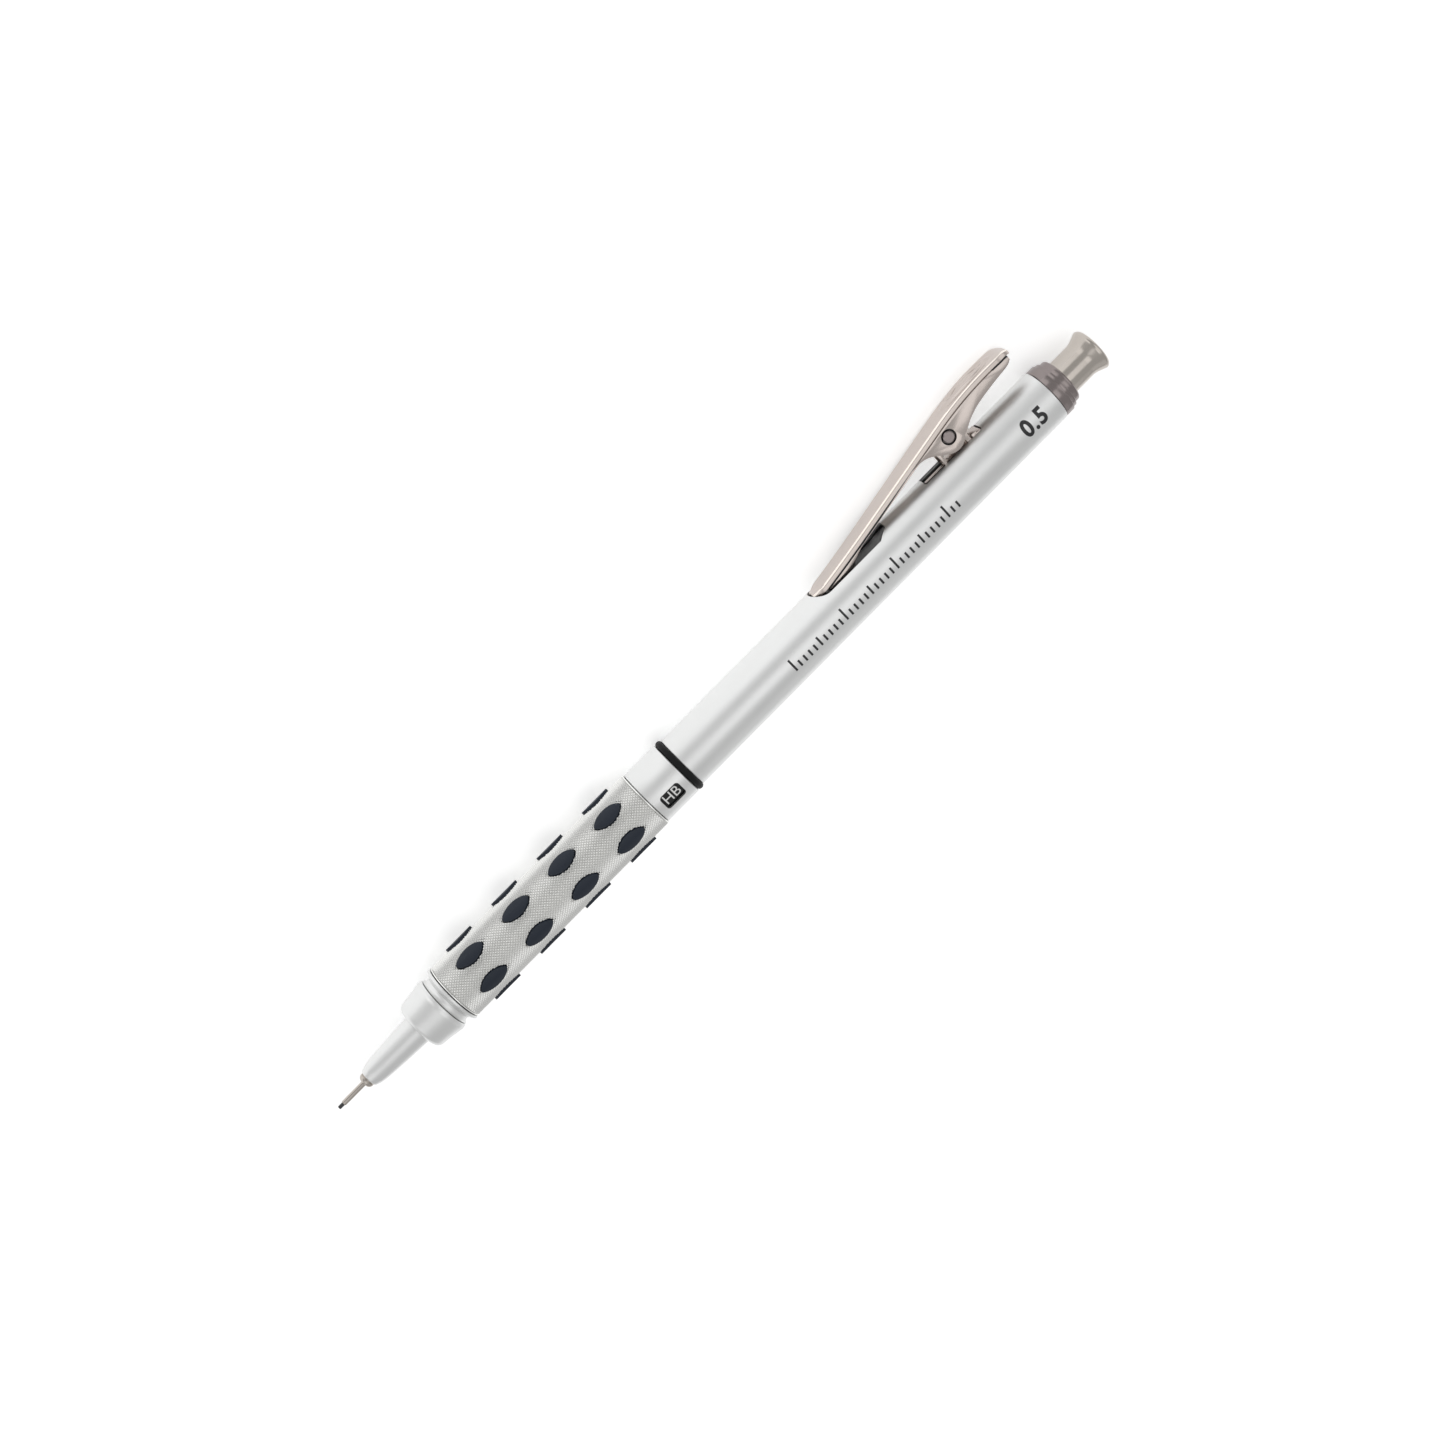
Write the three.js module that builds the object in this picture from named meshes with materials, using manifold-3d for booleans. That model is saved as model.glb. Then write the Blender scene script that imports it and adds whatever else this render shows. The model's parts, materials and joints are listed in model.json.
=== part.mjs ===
// A drafting mechanical pencil whose slender tip retracts into the nose when the back of its clip is pressed.
// Millimetres. Every piece is made in the pencil's own frame: +Y runs from the lead's point at 0 back to the
// push button, +Z points out through the clip and +X is across. The last group lays the pencil on a desk.

import * as THREE from 'three';
import { mergeVertices } from 'three/addons/utils/BufferGeometryUtils.js';
import Module from 'manifold-3d';

const wasm = await Module();
wasm.setup();

// ---- facets and clearances ----
const OUTER_FACES = 32;
const INNER_FACES = 16;
const FIT = 0.05; // radial gap of a piece pressed or screwed onto another
const SLIDE = 0.1; // radial gap of a piece that slides or turns
const END_GAP = 0.05; // gap between end faces that meet

// ---- lead, guide pipe and tip ----
const LEAD_RADIUS = 0.28;
const LEAD_LENGTH = 60;
const LEAD_OUT = 0.9; // bare lead in front of the pipe
const LEAD_GAP = 0.03;
const PIPE_WALL = 0.11;
const PIPE_OUT = 3.95;
const PIPE_HELD = 6;
const FERRULE_LENGTH = 1;
const FERRULE_RADIUS = 1.17;
const FERRULE_STEM_WALL = 0.45;
const FERRULE_STEM_LENGTH = 5.2;
const TIP_OUT = 15.8; // from the lead's point to the nose cap
const CONE_FRONT_RADIUS = 1.47;
const CONE_SHOULDER_RADIUS = 1.8;
const CONE_SHOULDER_LENGTH = 1.45;
const CONE_SWELL = 0.73; // how quickly the cone fattens behind its shoulder
const CONE_WALL = 0.3;
const RETAINER_LENGTH = 1.8;
const RETAINER_WALL = 0.65;

// ---- chuck, clutch and feed ----
const CHUCK_STEM_WALL = 0.53;
const CHUCK_HEAD_RISE = 0.35;
const CHUCK_HEAD_LENGTH = 1;
const CHUCK_CONE_LENGTH = 3;
const CHUCK_STEM_LENGTH = 17.9;
const CHUCK_JAWS = 3;
const CHUCK_SLIT = 0.22;
const CHUCK_SLIT_LENGTH = 13;
const CLUTCH_WALL = 0.31;
const CLUTCH_LENGTH = 2.8;
const SLEEVE_WALL = 0.42;
const SLEEVE_LENGTH = 26.6;
const SLEEVE_SEAT = 6.6; // from the sleeve's front to the spring's seat
const SLEEVE_SEAT_LENGTH = 1.2;
const CHUCK_SPRING_LENGTH = 10.7;
const CHUCK_SPRING_WIRE = 0.17;
const CHUCK_SPRING_TURNS = 8;
const CONNECTOR_LENGTH = 4.8;
const CONNECTOR_SPIGOT = 4;
const LEAD_TUBE_WALL = 0.4;
const ADVANCE_TRAVEL = 3;
const RETRACT_TRAVEL = 16.5;

// ---- carrier ----
const CARRIER_WALL = 0.55;
const CARRIER_SIDE_GAP = 0.2;
const LATCH_FLAT = 0.7; // depth of the flat under the clip's window
const LATCH_RAMP = 2.8; // the flat rises again over this length, up to the window's rear
const RETRACT_WIRE = 0.25;
const RETRACT_SPRING_GAP = 0.25; // from the carrier to the coils
const RETRACT_SPRING_LENGTH = 20.4;
const RETRACT_SPRING_TURNS = 7;

// ---- nose, grip and grade ring ----
const NOSE_LENGTH = 5.05;
const NOSE_GAP = 0.17;
const NOSE_FRONT_RADIUS = 4.05;
const NOSE_RADIUS = 4.5;
const NOSE_REAR_RADIUS = 4.27;
const NOSE_FRONT_LENGTH = 1.4; // how far the cap's own lip reaches over the core
const NOSE_EDGE = 1.05;
const NECK_LENGTH = 1.85;
const NECK_GROOVE_RADIUS = 3.87;
const NECK_FLARE_RADIUS = 4.8;
const CORE_WALL = 0.4;
const CORE_IN_BARREL = 5.8;
const GRIP_LENGTH = 38.1;
const GRIP_WALL = 0.7;
const GRIP_EDGE = 0.2;
const PAD_SLEEVE_WALL = 0.6;
const PAD_RINGS = 4;
const PAD_COLUMNS = 6;
const PAD_FIRST = 5.75; // from the grip's front to the first ring of pads
const PAD_LAST = 5.35; // from the last ring of pads to the grip's rear
const PAD_ANGLE = 43; // degrees from the clip to the first column
const PAD_LENGTH = 4.8;
const PAD_WIDTH = 2.15;
const LEAF_FACES = 10;
const LEAF_FULLNESS = 0.68;
const PAD_HOLE_GAP = 0.15;
const PAD_PROUD = 0.33;
const GRADE_RING_LENGTH = 5.95;
const GRADE_RING_WALL = 0.45;
const GRADE_DIAL_LENGTH = 5;
const GRADE_WINDOW_LENGTH = 3.5;
const GRADE_WINDOW_WIDTH = 2.5;
const GRADE_WINDOW_CORNER = 0.5;
const GRADE_WINDOW_ANGLE = 102.5;
const O_RING_WIDTH = 1.05;
const O_RING_PROUD = 0.3;

// ---- barrel, collar, button and eraser ----
const BARREL_LENGTH = 72.35;
const BARREL_WALL = 0.5;
const BARREL_EDGE = 0.12;
const COLLAR_LENGTH = 3.1;
const COLLAR_SPIGOT = 3;
const BUTTON_OUT = 6.3;
const BUTTON_WALL = 0.5;
const BUTTON_HEAD_RADIUS = 3.41;
const BUTTON_HEAD_LENGTH = 2.8;
const BUTTON_HEAD_EDGE = 0.65;
const BUTTON_END_WALL = 4;
const HOLDER_WALL = 0.5;
const HOLDER_LENGTH = 8;
const HOLDER_CUP = 4;
const ERASER_LENGTH = 9.9;
const ERASER_GRIP = 0.25; // wall and gap of the cup round the eraser

// ---- clip ----
const PIVOT_FROM_REAR = 14.45; // from the barrel's rear end to the pin
const PIVOT_HEIGHT = 2.49; // from the barrel's surface to the pin
const PIN_RADIUS = 0.87;
const EYE_GAP = 0.28;
const EYE_WALL = 1.25;
const CLIP_REACH = 28.75; // from the pin to the clip's front end
const CLIP_TAIL = 14.2;
const CLIP_FACE_HEIGHT = 2.5; // from the pin to the outer face
const CLIP_SLOPE = 0.189;
const CLIP_TAIL_CURVE = 0.0095;
const CLIP_NOSE_CURVE = 0.0018;
const CLIP_NOSE_STRAIGHT = 16.7; // the face curves less than this far in front of the pin
const CLIP_FRONT_HALF = 2.05;
const CLIP_REAR_HALF = 2.5;
const CLIP_SHEET = 0.35;
const CLIP_LIP = 0.55;
const CLIP_SEAM = 0.12;
const CLIP_PLATE = 0.6;
const CATCH_DEPTH = 3.85; // from the pin down to the catch
const THUMB_LENGTH = 10.6;
const THUMB_WIDTH = 3;
const THUMB_START = 1.6;
const THUMB_RISE = 0.25;
const BRACKET_SHEET = 0.4;
const BRACKET_EYE_WALL = 0.48;
const BRACKET_LENGTH = 6.8;
const BRACKET_TONGUE = 3.6;
const CLIP_WIRE = 0.15;
const CLIP_SPRING_TURNS = 3;
const SLOT_LENGTH = 11;
const SLOT_HALF = 1.65;
const WINDOW_HALF = 2.75;
const WINDOW_LENGTH = 14.3;

// ---- radii, worked out from the lead outwards ----
const pipeBore = LEAD_RADIUS + LEAD_GAP;
const pipeRadius = pipeBore + PIPE_WALL;
const ferruleBore = pipeRadius + LEAD_GAP;
const ferruleStemRadius = ferruleBore + FERRULE_STEM_WALL;
const chuckBore = LEAD_RADIUS + LEAD_GAP;
const chuckStemRadius = chuckBore + CHUCK_STEM_WALL;
const chuckHeadRadius = chuckStemRadius + CHUCK_HEAD_RISE;
const clutchBore = chuckHeadRadius + FIT;
const clutchRadius = clutchBore + CLUTCH_WALL;
const sleeveBore = clutchRadius + SLIDE;
const sleeveRadius = sleeveBore + SLEEVE_WALL;
const coneBore = sleeveRadius + FIT;
const coneRadius = coneBore + CONE_WALL;
const retainerRadius = LEAD_RADIUS + LEAD_GAP + RETAINER_WALL;
const carrierFrontRadius = coneBore + CARRIER_WALL;
const noseBore = coneRadius + NOSE_GAP;
const coreBore = carrierFrontRadius + CARRIER_SIDE_GAP;
const coreRadius = coreBore + CORE_WALL;
const padSleeveBore = coreRadius + FIT;
const padSleeveRadius = padSleeveBore + PAD_SLEEVE_WALL;
const gripBore = padSleeveRadius + FIT;
const gripRadius = gripBore + GRIP_WALL;
const padRadius = gripRadius + PAD_PROUD;
const gradeRingBore = padSleeveRadius + SLIDE;
const gradeRingRadius = gradeRingBore + GRADE_RING_WALL;
const retractCoilRadius = carrierFrontRadius + RETRACT_WIRE + RETRACT_SPRING_GAP;
const carrierRearRadius = retractCoilRadius + SLIDE;
const barrelBore = retractCoilRadius + RETRACT_WIRE + 3 * SLIDE;
const barrelRadius = barrelBore + BARREL_WALL;
const oRingRadius = barrelRadius + O_RING_PROUD;
const leadTubeRadius = sleeveBore - 0.8 * SLIDE;
const leadTubeBore = leadTubeRadius - LEAD_TUBE_WALL;
const holderRadius = leadTubeRadius + FIT + HOLDER_WALL;
const buttonBore = holderRadius + SLIDE;
const buttonRadius = buttonBore + BUTTON_WALL;
const collarBore = buttonRadius + SLIDE;
const eraserRadius = holderRadius - ERASER_GRIP;

// ---- stations along the pencil, from the lead's point back ----
const pipeFront = LEAD_OUT;
const ferruleFront = pipeFront + PIPE_OUT;
const coneFront = ferruleFront + FERRULE_LENGTH + END_GAP;
const noseFront = TIP_OUT;
const neckFront = noseFront + NOSE_LENGTH + END_GAP;
const gripFront = neckFront + NECK_LENGTH + 0.15;
const gripRear = gripFront + GRIP_LENGTH;
const padPitch = (GRIP_LENGTH - PAD_FIRST - PAD_LAST) / (PAD_RINGS - 1);
const gradeFront = gripRear + 0.1;
const gradeRear = gradeFront + GRADE_RING_LENGTH;
const oRingFront = gradeRear + END_GAP;
const barrelFront = oRingFront + O_RING_WIDTH + END_GAP;
const barrelRear = barrelFront + BARREL_LENGTH;
const collarRear = barrelRear + END_GAP + COLLAR_LENGTH;
const buttonRear = collarRear + BUTTON_OUT;
const buttonFront = collarRear - RETRACT_TRAVEL - 0.2;
const coreRear = barrelFront + CORE_IN_BARREL;
const sleeveFront = noseFront + 1.6;
const chuckFront = sleeveFront + 1.2;
const clutchFront = chuckFront + CHUCK_HEAD_LENGTH;
const chuckRear = clutchFront + CHUCK_CONE_LENGTH + CHUCK_STEM_LENGTH;
const seatRear = sleeveFront + SLEEVE_SEAT + SLEEVE_SEAT_LENGTH;
const connectorFront = seatRear + CHUCK_SPRING_LENGTH + 0.3;
const leadTubeFront = connectorFront + CONNECTOR_LENGTH + END_GAP;
const retainerFront = coneFront + FERRULE_STEM_LENGTH + 1.3;
const coneRear = sleeveFront + SLEEVE_LENGTH / 2;
const retractSpringFront = coreRear + 0.3;
const carrierShoulder = retractSpringFront + RETRACT_SPRING_LENGTH + 0.3;
const collarFront = barrelRear - COLLAR_SPIGOT;
const carrierRear = collarFront - RETRACT_TRAVEL - 0.5;
const leadTubeRear = buttonFront + 5;
const holderFront = leadTubeRear - 3;
const pivotY = barrelRear - PIVOT_FROM_REAR;
const pivotZ = barrelRadius + PIVOT_HEIGHT;
const slotRear = pivotY + 4.3;
const windowFront = pivotY - CLIP_REACH - 0.35;
const windowRear = windowFront + WINDOW_LENGTH;

// ---- finishes ----
const finish = (colour, roughness, metalness) => ({ color: colour, roughness, metalness });
const SATIN = finish(0xc9cbcd, 0.34, 1);
const KNURLED = finish(0xc4c6c8, 0.42, 1);
const CHROME = finish(0xb9aea6, 0.16, 1);
const NICKEL = finish(0xa79c95, 0.22, 1);
const STEEL = finish(0xa9a9a8, 0.3, 1);
const BRASS = finish(0xb8954f, 0.32, 1);
const BLACK_PLASTIC = finish(0x151618, 0.45, 0);
const BLACK_RUBBER = finish(0x0e0e0f, 0.7, 0);
const PAD_RUBBER = finish(0x29313a, 0.5, 0);
const WHITE_RUBBER = finish(0xe9e7e2, 0.8, 0);
const GRAPHITE = finish(0x2c2b2d, 0.5, 0.2);

// ---- solids ----

// A turned solid. The outline is [station, radius] from the front, along the outside, and back along the bore.
function turned(outline, faces = OUTER_FACES) {
  const points = outline.map(([station, radius]) => new THREE.Vector2(radius, station));
  const onAxis = outline[0][1] === 0 && outline[outline.length - 1][1] === 0;
  if (!onAxis) points.push(points[0].clone());
  return new THREE.LatheGeometry(points, faces);
}

// A plain tube with a small bevel on its outer edges.
function tube(front, rear, radius, bore, faces, edge = 0) {
  const outline = [[front, radius - edge]];
  if (edge > 0) outline.push([front + edge, radius], [rear - edge, radius]);
  outline.push([rear, radius - edge], [rear, bore], [front, bore]);
  return turned(outline, faces);
}

function toSolid(geometry) {
  const bare = geometry.clone();
  bare.deleteAttribute('normal');
  bare.deleteAttribute('uv');
  const merged = mergeVertices(bare, 1e-4);
  const corners = merged.index.array;
  const triangles = [];
  for (let i = 0; i < corners.length; i += 3) {
    const [a, b, c] = corners.slice(i, i + 3);
    if (a !== b && b !== c && c !== a) triangles.push(a, b, c);
  }
  const vertProperties = new Float32Array(merged.attributes.position.array);
  return new wasm.Manifold(new wasm.Mesh({ numProp: 3, vertProperties, triVerts: new Uint32Array(triangles) }));
}

function toGeometry(solid) {
  const mesh = solid.getMesh();
  const geometry = new THREE.BufferGeometry();
  geometry.setAttribute('position', new THREE.BufferAttribute(mesh.vertProperties, 3));
  geometry.setIndex(new THREE.BufferAttribute(mesh.triVerts, 1));
  geometry.computeVertexNormals();
  return geometry;
}

// A prism whose outline lies across (x) and along (y) the pencil, between two heights over its axis.
function planPrism(shape, low, high) {
  const prism = new THREE.ExtrudeGeometry(shape, { depth: high - low, bevelEnabled: false, curveSegments: 6 });
  return prism.translate(0, 0, low);
}

// A plate whose outline is seen from the side: along the pencil and up through the clip.
function sidePlate(shape, left, right) {
  const plate = new THREE.ExtrudeGeometry(shape, { depth: right - left, bevelEnabled: false, curveSegments: 6 });
  plate.translate(0, 0, left);
  return plate.applyMatrix4(new THREE.Matrix4().set(0, 0, 1, 0, 1, 0, 0, 0, 0, 1, 0, 0, 0, 0, 0, 1));
}

function shapeThrough(points) {
  return new THREE.Shape(points.map(([a, b]) => new THREE.Vector2(a, b)));
}

function boxShape(left, front, right, rear) {
  return shapeThrough([[left, front], [right, front], [right, rear], [left, rear]]);
}

// A leaf with blunt ends, that points fore and aft.
function leaf(length, width) {
  const points = [];
  for (let i = 0; i < LEAF_FACES; i += 1) {
    const along = Math.cos((2 * Math.PI * i) / LEAF_FACES);
    const swell = Math.max(0, 1 - along * along) ** LEAF_FULLNESS;
    points.push([(Math.sign(LEAF_FACES / 2 - i) * swell * width) / 2, (along * length) / 2]);
  }
  return shapeThrough(points);
}

function roundedBox(width, length, corner) {
  const shape = new THREE.Shape();
  const [x, y] = [width / 2, length / 2];
  shape.moveTo(-x + corner, -y);
  shape.lineTo(x - corner, -y);
  shape.quadraticCurveTo(x, -y, x, -y + corner);
  shape.lineTo(x, y - corner);
  shape.quadraticCurveTo(x, y, x - corner, y);
  shape.lineTo(-x + corner, y);
  shape.quadraticCurveTo(-x, y, -x, y - corner);
  shape.lineTo(-x, -y + corner);
  shape.quadraticCurveTo(-x, -y, -x + corner, -y);
  return shape;
}

function wireSection(radius) {
  const sides = 5;
  const corner = (i) => [radius * Math.cos((2 * Math.PI * i) / sides), radius * Math.sin((2 * Math.PI * i) / sides)];
  return shapeThrough(Array.from({ length: sides }, (_, i) => corner(i)));
}

// A round wire wound round the pencil's axis, between two stations.
function coilSpring(front, length, radius, wire, turns) {
  const stepsPerTurn = 8;
  class Helix extends THREE.Curve {
    getPoint(t, target = new THREE.Vector3()) {
      const angle = 2 * Math.PI * turns * t;
      const station = front + wire + (length - 2 * wire) * t;
      return target.set(radius * Math.cos(angle), station, radius * Math.sin(angle));
    }
  }
  const options = { steps: turns * stepsPerTurn, extrudePath: new Helix(), bevelEnabled: false };
  return new THREE.ExtrudeGeometry(wireSection(wire), options);
}

// ---- lead, pipe and tip ----

function lead() {
  return turned([[0, 0], [0, LEAD_RADIUS], [LEAD_LENGTH, LEAD_RADIUS], [LEAD_LENGTH, 0]], INNER_FACES);
}

function guidePipe() {
  return tube(pipeFront, ferruleFront + PIPE_HELD, pipeRadius, pipeBore, INNER_FACES, 0.03);
}

function pipeFerrule() {
  const head = ferruleFront + FERRULE_LENGTH;
  const outline = [[ferruleFront, ferruleBore + 0.04]];
  for (const turn of [0.25, 0.5, 0.75, 1]) {
    const angle = (Math.PI / 2) * turn;
    const radius = ferruleBore + (FERRULE_RADIUS - ferruleBore) * Math.sin(angle);
    outline.push([ferruleFront + (FERRULE_LENGTH - 0.2) * (1 - Math.cos(angle)), radius]);
  }
  outline.push([head, FERRULE_RADIUS], [head, ferruleStemRadius]);
  outline.push([head + FERRULE_STEM_LENGTH, ferruleStemRadius], [head + FERRULE_STEM_LENGTH, ferruleBore]);
  outline.push([ferruleFront, ferruleBore]);
  return turned(outline, INNER_FACES);
}

function tipCone() {
  const shoulder = coneFront + CONE_SHOULDER_LENGTH;
  const full = noseFront + 2.2;
  const steps = 4;
  const outline = [[coneFront, CONE_FRONT_RADIUS - 0.2], [coneFront + 0.15, CONE_FRONT_RADIUS]];
  outline.push([coneFront + CONE_SHOULDER_LENGTH * 0.45, CONE_FRONT_RADIUS + 0.2]);
  for (let i = 0; i <= steps; i += 1) {
    const along = i / steps;
    const radius = CONE_SHOULDER_RADIUS + (coneRadius - CONE_SHOULDER_RADIUS) * along ** CONE_SWELL;
    outline.push([shoulder + (full - shoulder) * along, radius]);
  }
  const stemRoom = ferruleStemRadius + LEAD_GAP;
  const retainerRoom = retainerRadius + LEAD_GAP;
  const chuckRoom = retainerFront + RETAINER_LENGTH + 0.6;
  outline.push([coneRear, coneRadius], [coneRear, coneBore], [sleeveFront - END_GAP, coneBore]);
  outline.push([sleeveFront - END_GAP, chuckHeadRadius + 2 * SLIDE], [chuckRoom, chuckHeadRadius + 2 * SLIDE]);
  outline.push([chuckRoom, retainerRoom], [retainerFront - END_GAP, retainerRoom]);
  outline.push([retainerFront - END_GAP, stemRoom], [coneFront, stemRoom]);
  return turned(outline);
}

function leadRetainer() {
  return tube(retainerFront, retainerFront + RETAINER_LENGTH, retainerRadius, pipeBore, INNER_FACES, 0.1);
}

// ---- chuck, clutch and feed ----

// Three jaws: a head that the clutch ring squeezes, slit from the front, on a long stem.
function chuck() {
  const coneEnd = clutchFront + CHUCK_CONE_LENGTH;
  const body = turned([
    [chuckFront, chuckHeadRadius - 0.3], [chuckFront + 0.3, chuckHeadRadius], [clutchFront, chuckHeadRadius],
    [coneEnd, chuckStemRadius], [chuckRear, chuckStemRadius], [chuckRear, chuckBore], [chuckFront, chuckBore],
  ], INNER_FACES);
  let solid = toSolid(body);
  const slitShape = boxShape(-CHUCK_SLIT / 2, chuckFront - 1, CHUCK_SLIT / 2, chuckFront + CHUCK_SLIT_LENGTH);
  for (let i = 0; i < CHUCK_JAWS; i += 1) {
    const slit = planPrism(slitShape, 0, chuckHeadRadius + 1).rotateY((2 * Math.PI * i) / CHUCK_JAWS);
    solid = solid.subtract(toSolid(slit));
  }
  return toGeometry(solid);
}

function clutchRing() {
  const rear = clutchFront + CLUTCH_LENGTH;
  const rearBore = chuckStemRadius + FIT + (CHUCK_HEAD_RISE * (CHUCK_CONE_LENGTH - CLUTCH_LENGTH)) / CHUCK_CONE_LENGTH;
  return turned([
    [clutchFront, clutchRadius], [rear, clutchRadius], [rear, rearBore], [clutchFront, clutchBore],
  ], INNER_FACES);
}

function chuckSleeve() {
  const rear = sleeveFront + SLEEVE_LENGTH;
  const seatFront = sleeveFront + SLEEVE_SEAT;
  const seatBore = chuckStemRadius + SLIDE;
  return turned([
    [sleeveFront, sleeveRadius - 0.1], [sleeveFront + 0.1, sleeveRadius], [rear, sleeveRadius], [rear, sleeveBore],
    [seatRear, sleeveBore], [seatRear, seatBore], [seatFront, seatBore], [seatFront, sleeveBore],
    [sleeveFront, sleeveBore],
  ], INNER_FACES);
}

function chuckSpring() {
  const radius = (chuckStemRadius + SLIDE + sleeveBore) / 2;
  return coilSpring(seatRear + 0.1, CHUCK_SPRING_LENGTH, radius, CHUCK_SPRING_WIRE, CHUCK_SPRING_TURNS);
}

function chuckConnector() {
  const stemBore = chuckStemRadius + FIT;
  const collarEnd = connectorFront + CONNECTOR_LENGTH;
  const rear = collarEnd + CONNECTOR_SPIGOT;
  const spigotRadius = leadTubeBore - FIT;
  return turned([
    [connectorFront, leadTubeRadius], [collarEnd, leadTubeRadius], [collarEnd, spigotRadius], [rear, spigotRadius],
    [rear, spigotRadius - 0.4], [collarEnd - 0.4, spigotRadius - 0.4], [collarEnd - 0.4, stemBore],
    [connectorFront, stemBore],
  ], INNER_FACES);
}

function leadTube() {
  return tube(leadTubeFront, leadTubeRear, leadTubeRadius, leadTubeBore, INNER_FACES);
}

function eraserHolder() {
  const rear = holderFront + HOLDER_LENGTH;
  const cupFront = rear - HOLDER_CUP;
  const tubeBore = leadTubeRadius + FIT;
  return turned([
    [holderFront, holderRadius - 0.2], [holderFront + 0.2, holderRadius], [rear, holderRadius],
    [rear, eraserRadius + FIT], [cupFront, eraserRadius + FIT], [cupFront, leadTubeBore],
    [leadTubeRear + END_GAP, leadTubeBore], [leadTubeRear + END_GAP, tubeBore], [holderFront, tubeBore],
  ], INNER_FACES);
}

function eraser() {
  const front = holderFront + HOLDER_LENGTH - HOLDER_CUP + END_GAP;
  const rear = front + ERASER_LENGTH;
  return turned([
    [front, 0], [front, eraserRadius], [rear - 0.3, eraserRadius], [rear, eraserRadius - 0.3], [rear, 0],
  ], INNER_FACES);
}

function pushButton() {
  const headFront = buttonRear - BUTTON_HEAD_LENGTH;
  const widest = buttonRear - BUTTON_HEAD_EDGE;
  const flare = BUTTON_HEAD_RADIUS - buttonRadius;
  return turned([
    [buttonFront, buttonRadius - 0.15], [buttonFront + 0.15, buttonRadius], [headFront, buttonRadius],
    [headFront + 0.8, buttonRadius + 0.12 * flare], [headFront + 1.5, buttonRadius + 0.5 * flare],
    [widest - 0.15, BUTTON_HEAD_RADIUS - 0.04], [widest + 0.1, BUTTON_HEAD_RADIUS],
    [buttonRear - 0.25, BUTTON_HEAD_RADIUS - 0.12], [buttonRear - 0.06, BUTTON_HEAD_RADIUS - 0.36],
    [buttonRear, BUTTON_HEAD_RADIUS - 0.65], [buttonRear, 0], [buttonRear - BUTTON_END_WALL, 0],
    [buttonRear - BUTTON_END_WALL, buttonBore], [buttonFront, buttonBore], [buttonFront, buttonRadius - 0.15],
  ]);
}

// ---- carrier ----

// The black tube that holds the tip and the feed. A flat and a ramp under the window take the clip's catch.
function carrierTube() {
  const front = coneRear + END_GAP;
  const body = turned([
    [front, carrierFrontRadius], [carrierShoulder, carrierFrontRadius], [carrierShoulder, carrierRearRadius],
    [carrierRear, carrierRearRadius], [carrierRear, coneBore], [front, coneBore],
  ]);
  const flatFront = windowFront + 2;
  const rampFront = windowRear - LATCH_RAMP;
  const flatHeight = carrierRearRadius - LATCH_FLAT;
  const top = carrierRearRadius + 1;
  const notch = shapeThrough([
    [flatFront, flatHeight], [rampFront, flatHeight], [windowRear, carrierRearRadius + 0.01],
    [windowRear, top], [flatFront, top],
  ]);
  return toGeometry(toSolid(body).subtract(toSolid(sidePlate(notch, -top, top))));
}

function retractSpring() {
  return coilSpring(retractSpringFront, RETRACT_SPRING_LENGTH, retractCoilRadius, RETRACT_WIRE, RETRACT_SPRING_TURNS);
}

// ---- nose, grip and grade ring ----

function noseCap() {
  const rear = noseFront + NOSE_LENGTH;
  const lipRear = noseFront + NOSE_FRONT_LENGTH;
  return turned([
    [noseFront, NOSE_FRONT_RADIUS - 1.3], [noseFront + 0.12, NOSE_FRONT_RADIUS - 0.85],
    [noseFront + 0.45, NOSE_FRONT_RADIUS - 0.32], [noseFront + NOSE_EDGE, NOSE_FRONT_RADIUS],
    [rear - 0.75, NOSE_RADIUS], [rear - 0.3, NOSE_RADIUS - 0.06], [rear, NOSE_REAR_RADIUS],
    [rear, coreRadius + FIT], [lipRear, coreRadius + FIT], [lipRear, noseBore], [noseFront, noseBore],
  ]);
}

// The threaded tube inside the grip, with the grooved neck ring at its front.
function gripCore() {
  const front = noseFront + NOSE_FRONT_LENGTH + END_GAP;
  const neckRear = neckFront + NECK_LENGTH;
  return turned([
    [front, coreRadius], [neckFront, coreRadius], [neckFront, NOSE_REAR_RADIUS - 0.03],
    [neckFront + 0.4, NECK_GROOVE_RADIUS], [neckFront + 0.8, NECK_GROOVE_RADIUS],
    [neckFront + 1.4, NECK_FLARE_RADIUS - 0.2], [neckRear, NECK_FLARE_RADIUS], [neckRear, coreRadius],
    [coreRear, coreRadius], [coreRear, coreBore], [front, coreBore],
  ]);
}

function aroundGrip(makeOne) {
  const pieces = [];
  for (let ring = 0; ring < PAD_RINGS; ring += 1) {
    for (let column = 0; column < PAD_COLUMNS; column += 1) {
      const station = gripFront + PAD_FIRST + padPitch * ring;
      const angle = THREE.MathUtils.degToRad(PAD_ANGLE + (360 / PAD_COLUMNS) * column);
      pieces.push(toSolid(makeOne().translate(0, station, 0).rotateY(angle)));
    }
  }
  return wasm.Manifold.union(pieces);
}

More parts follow.
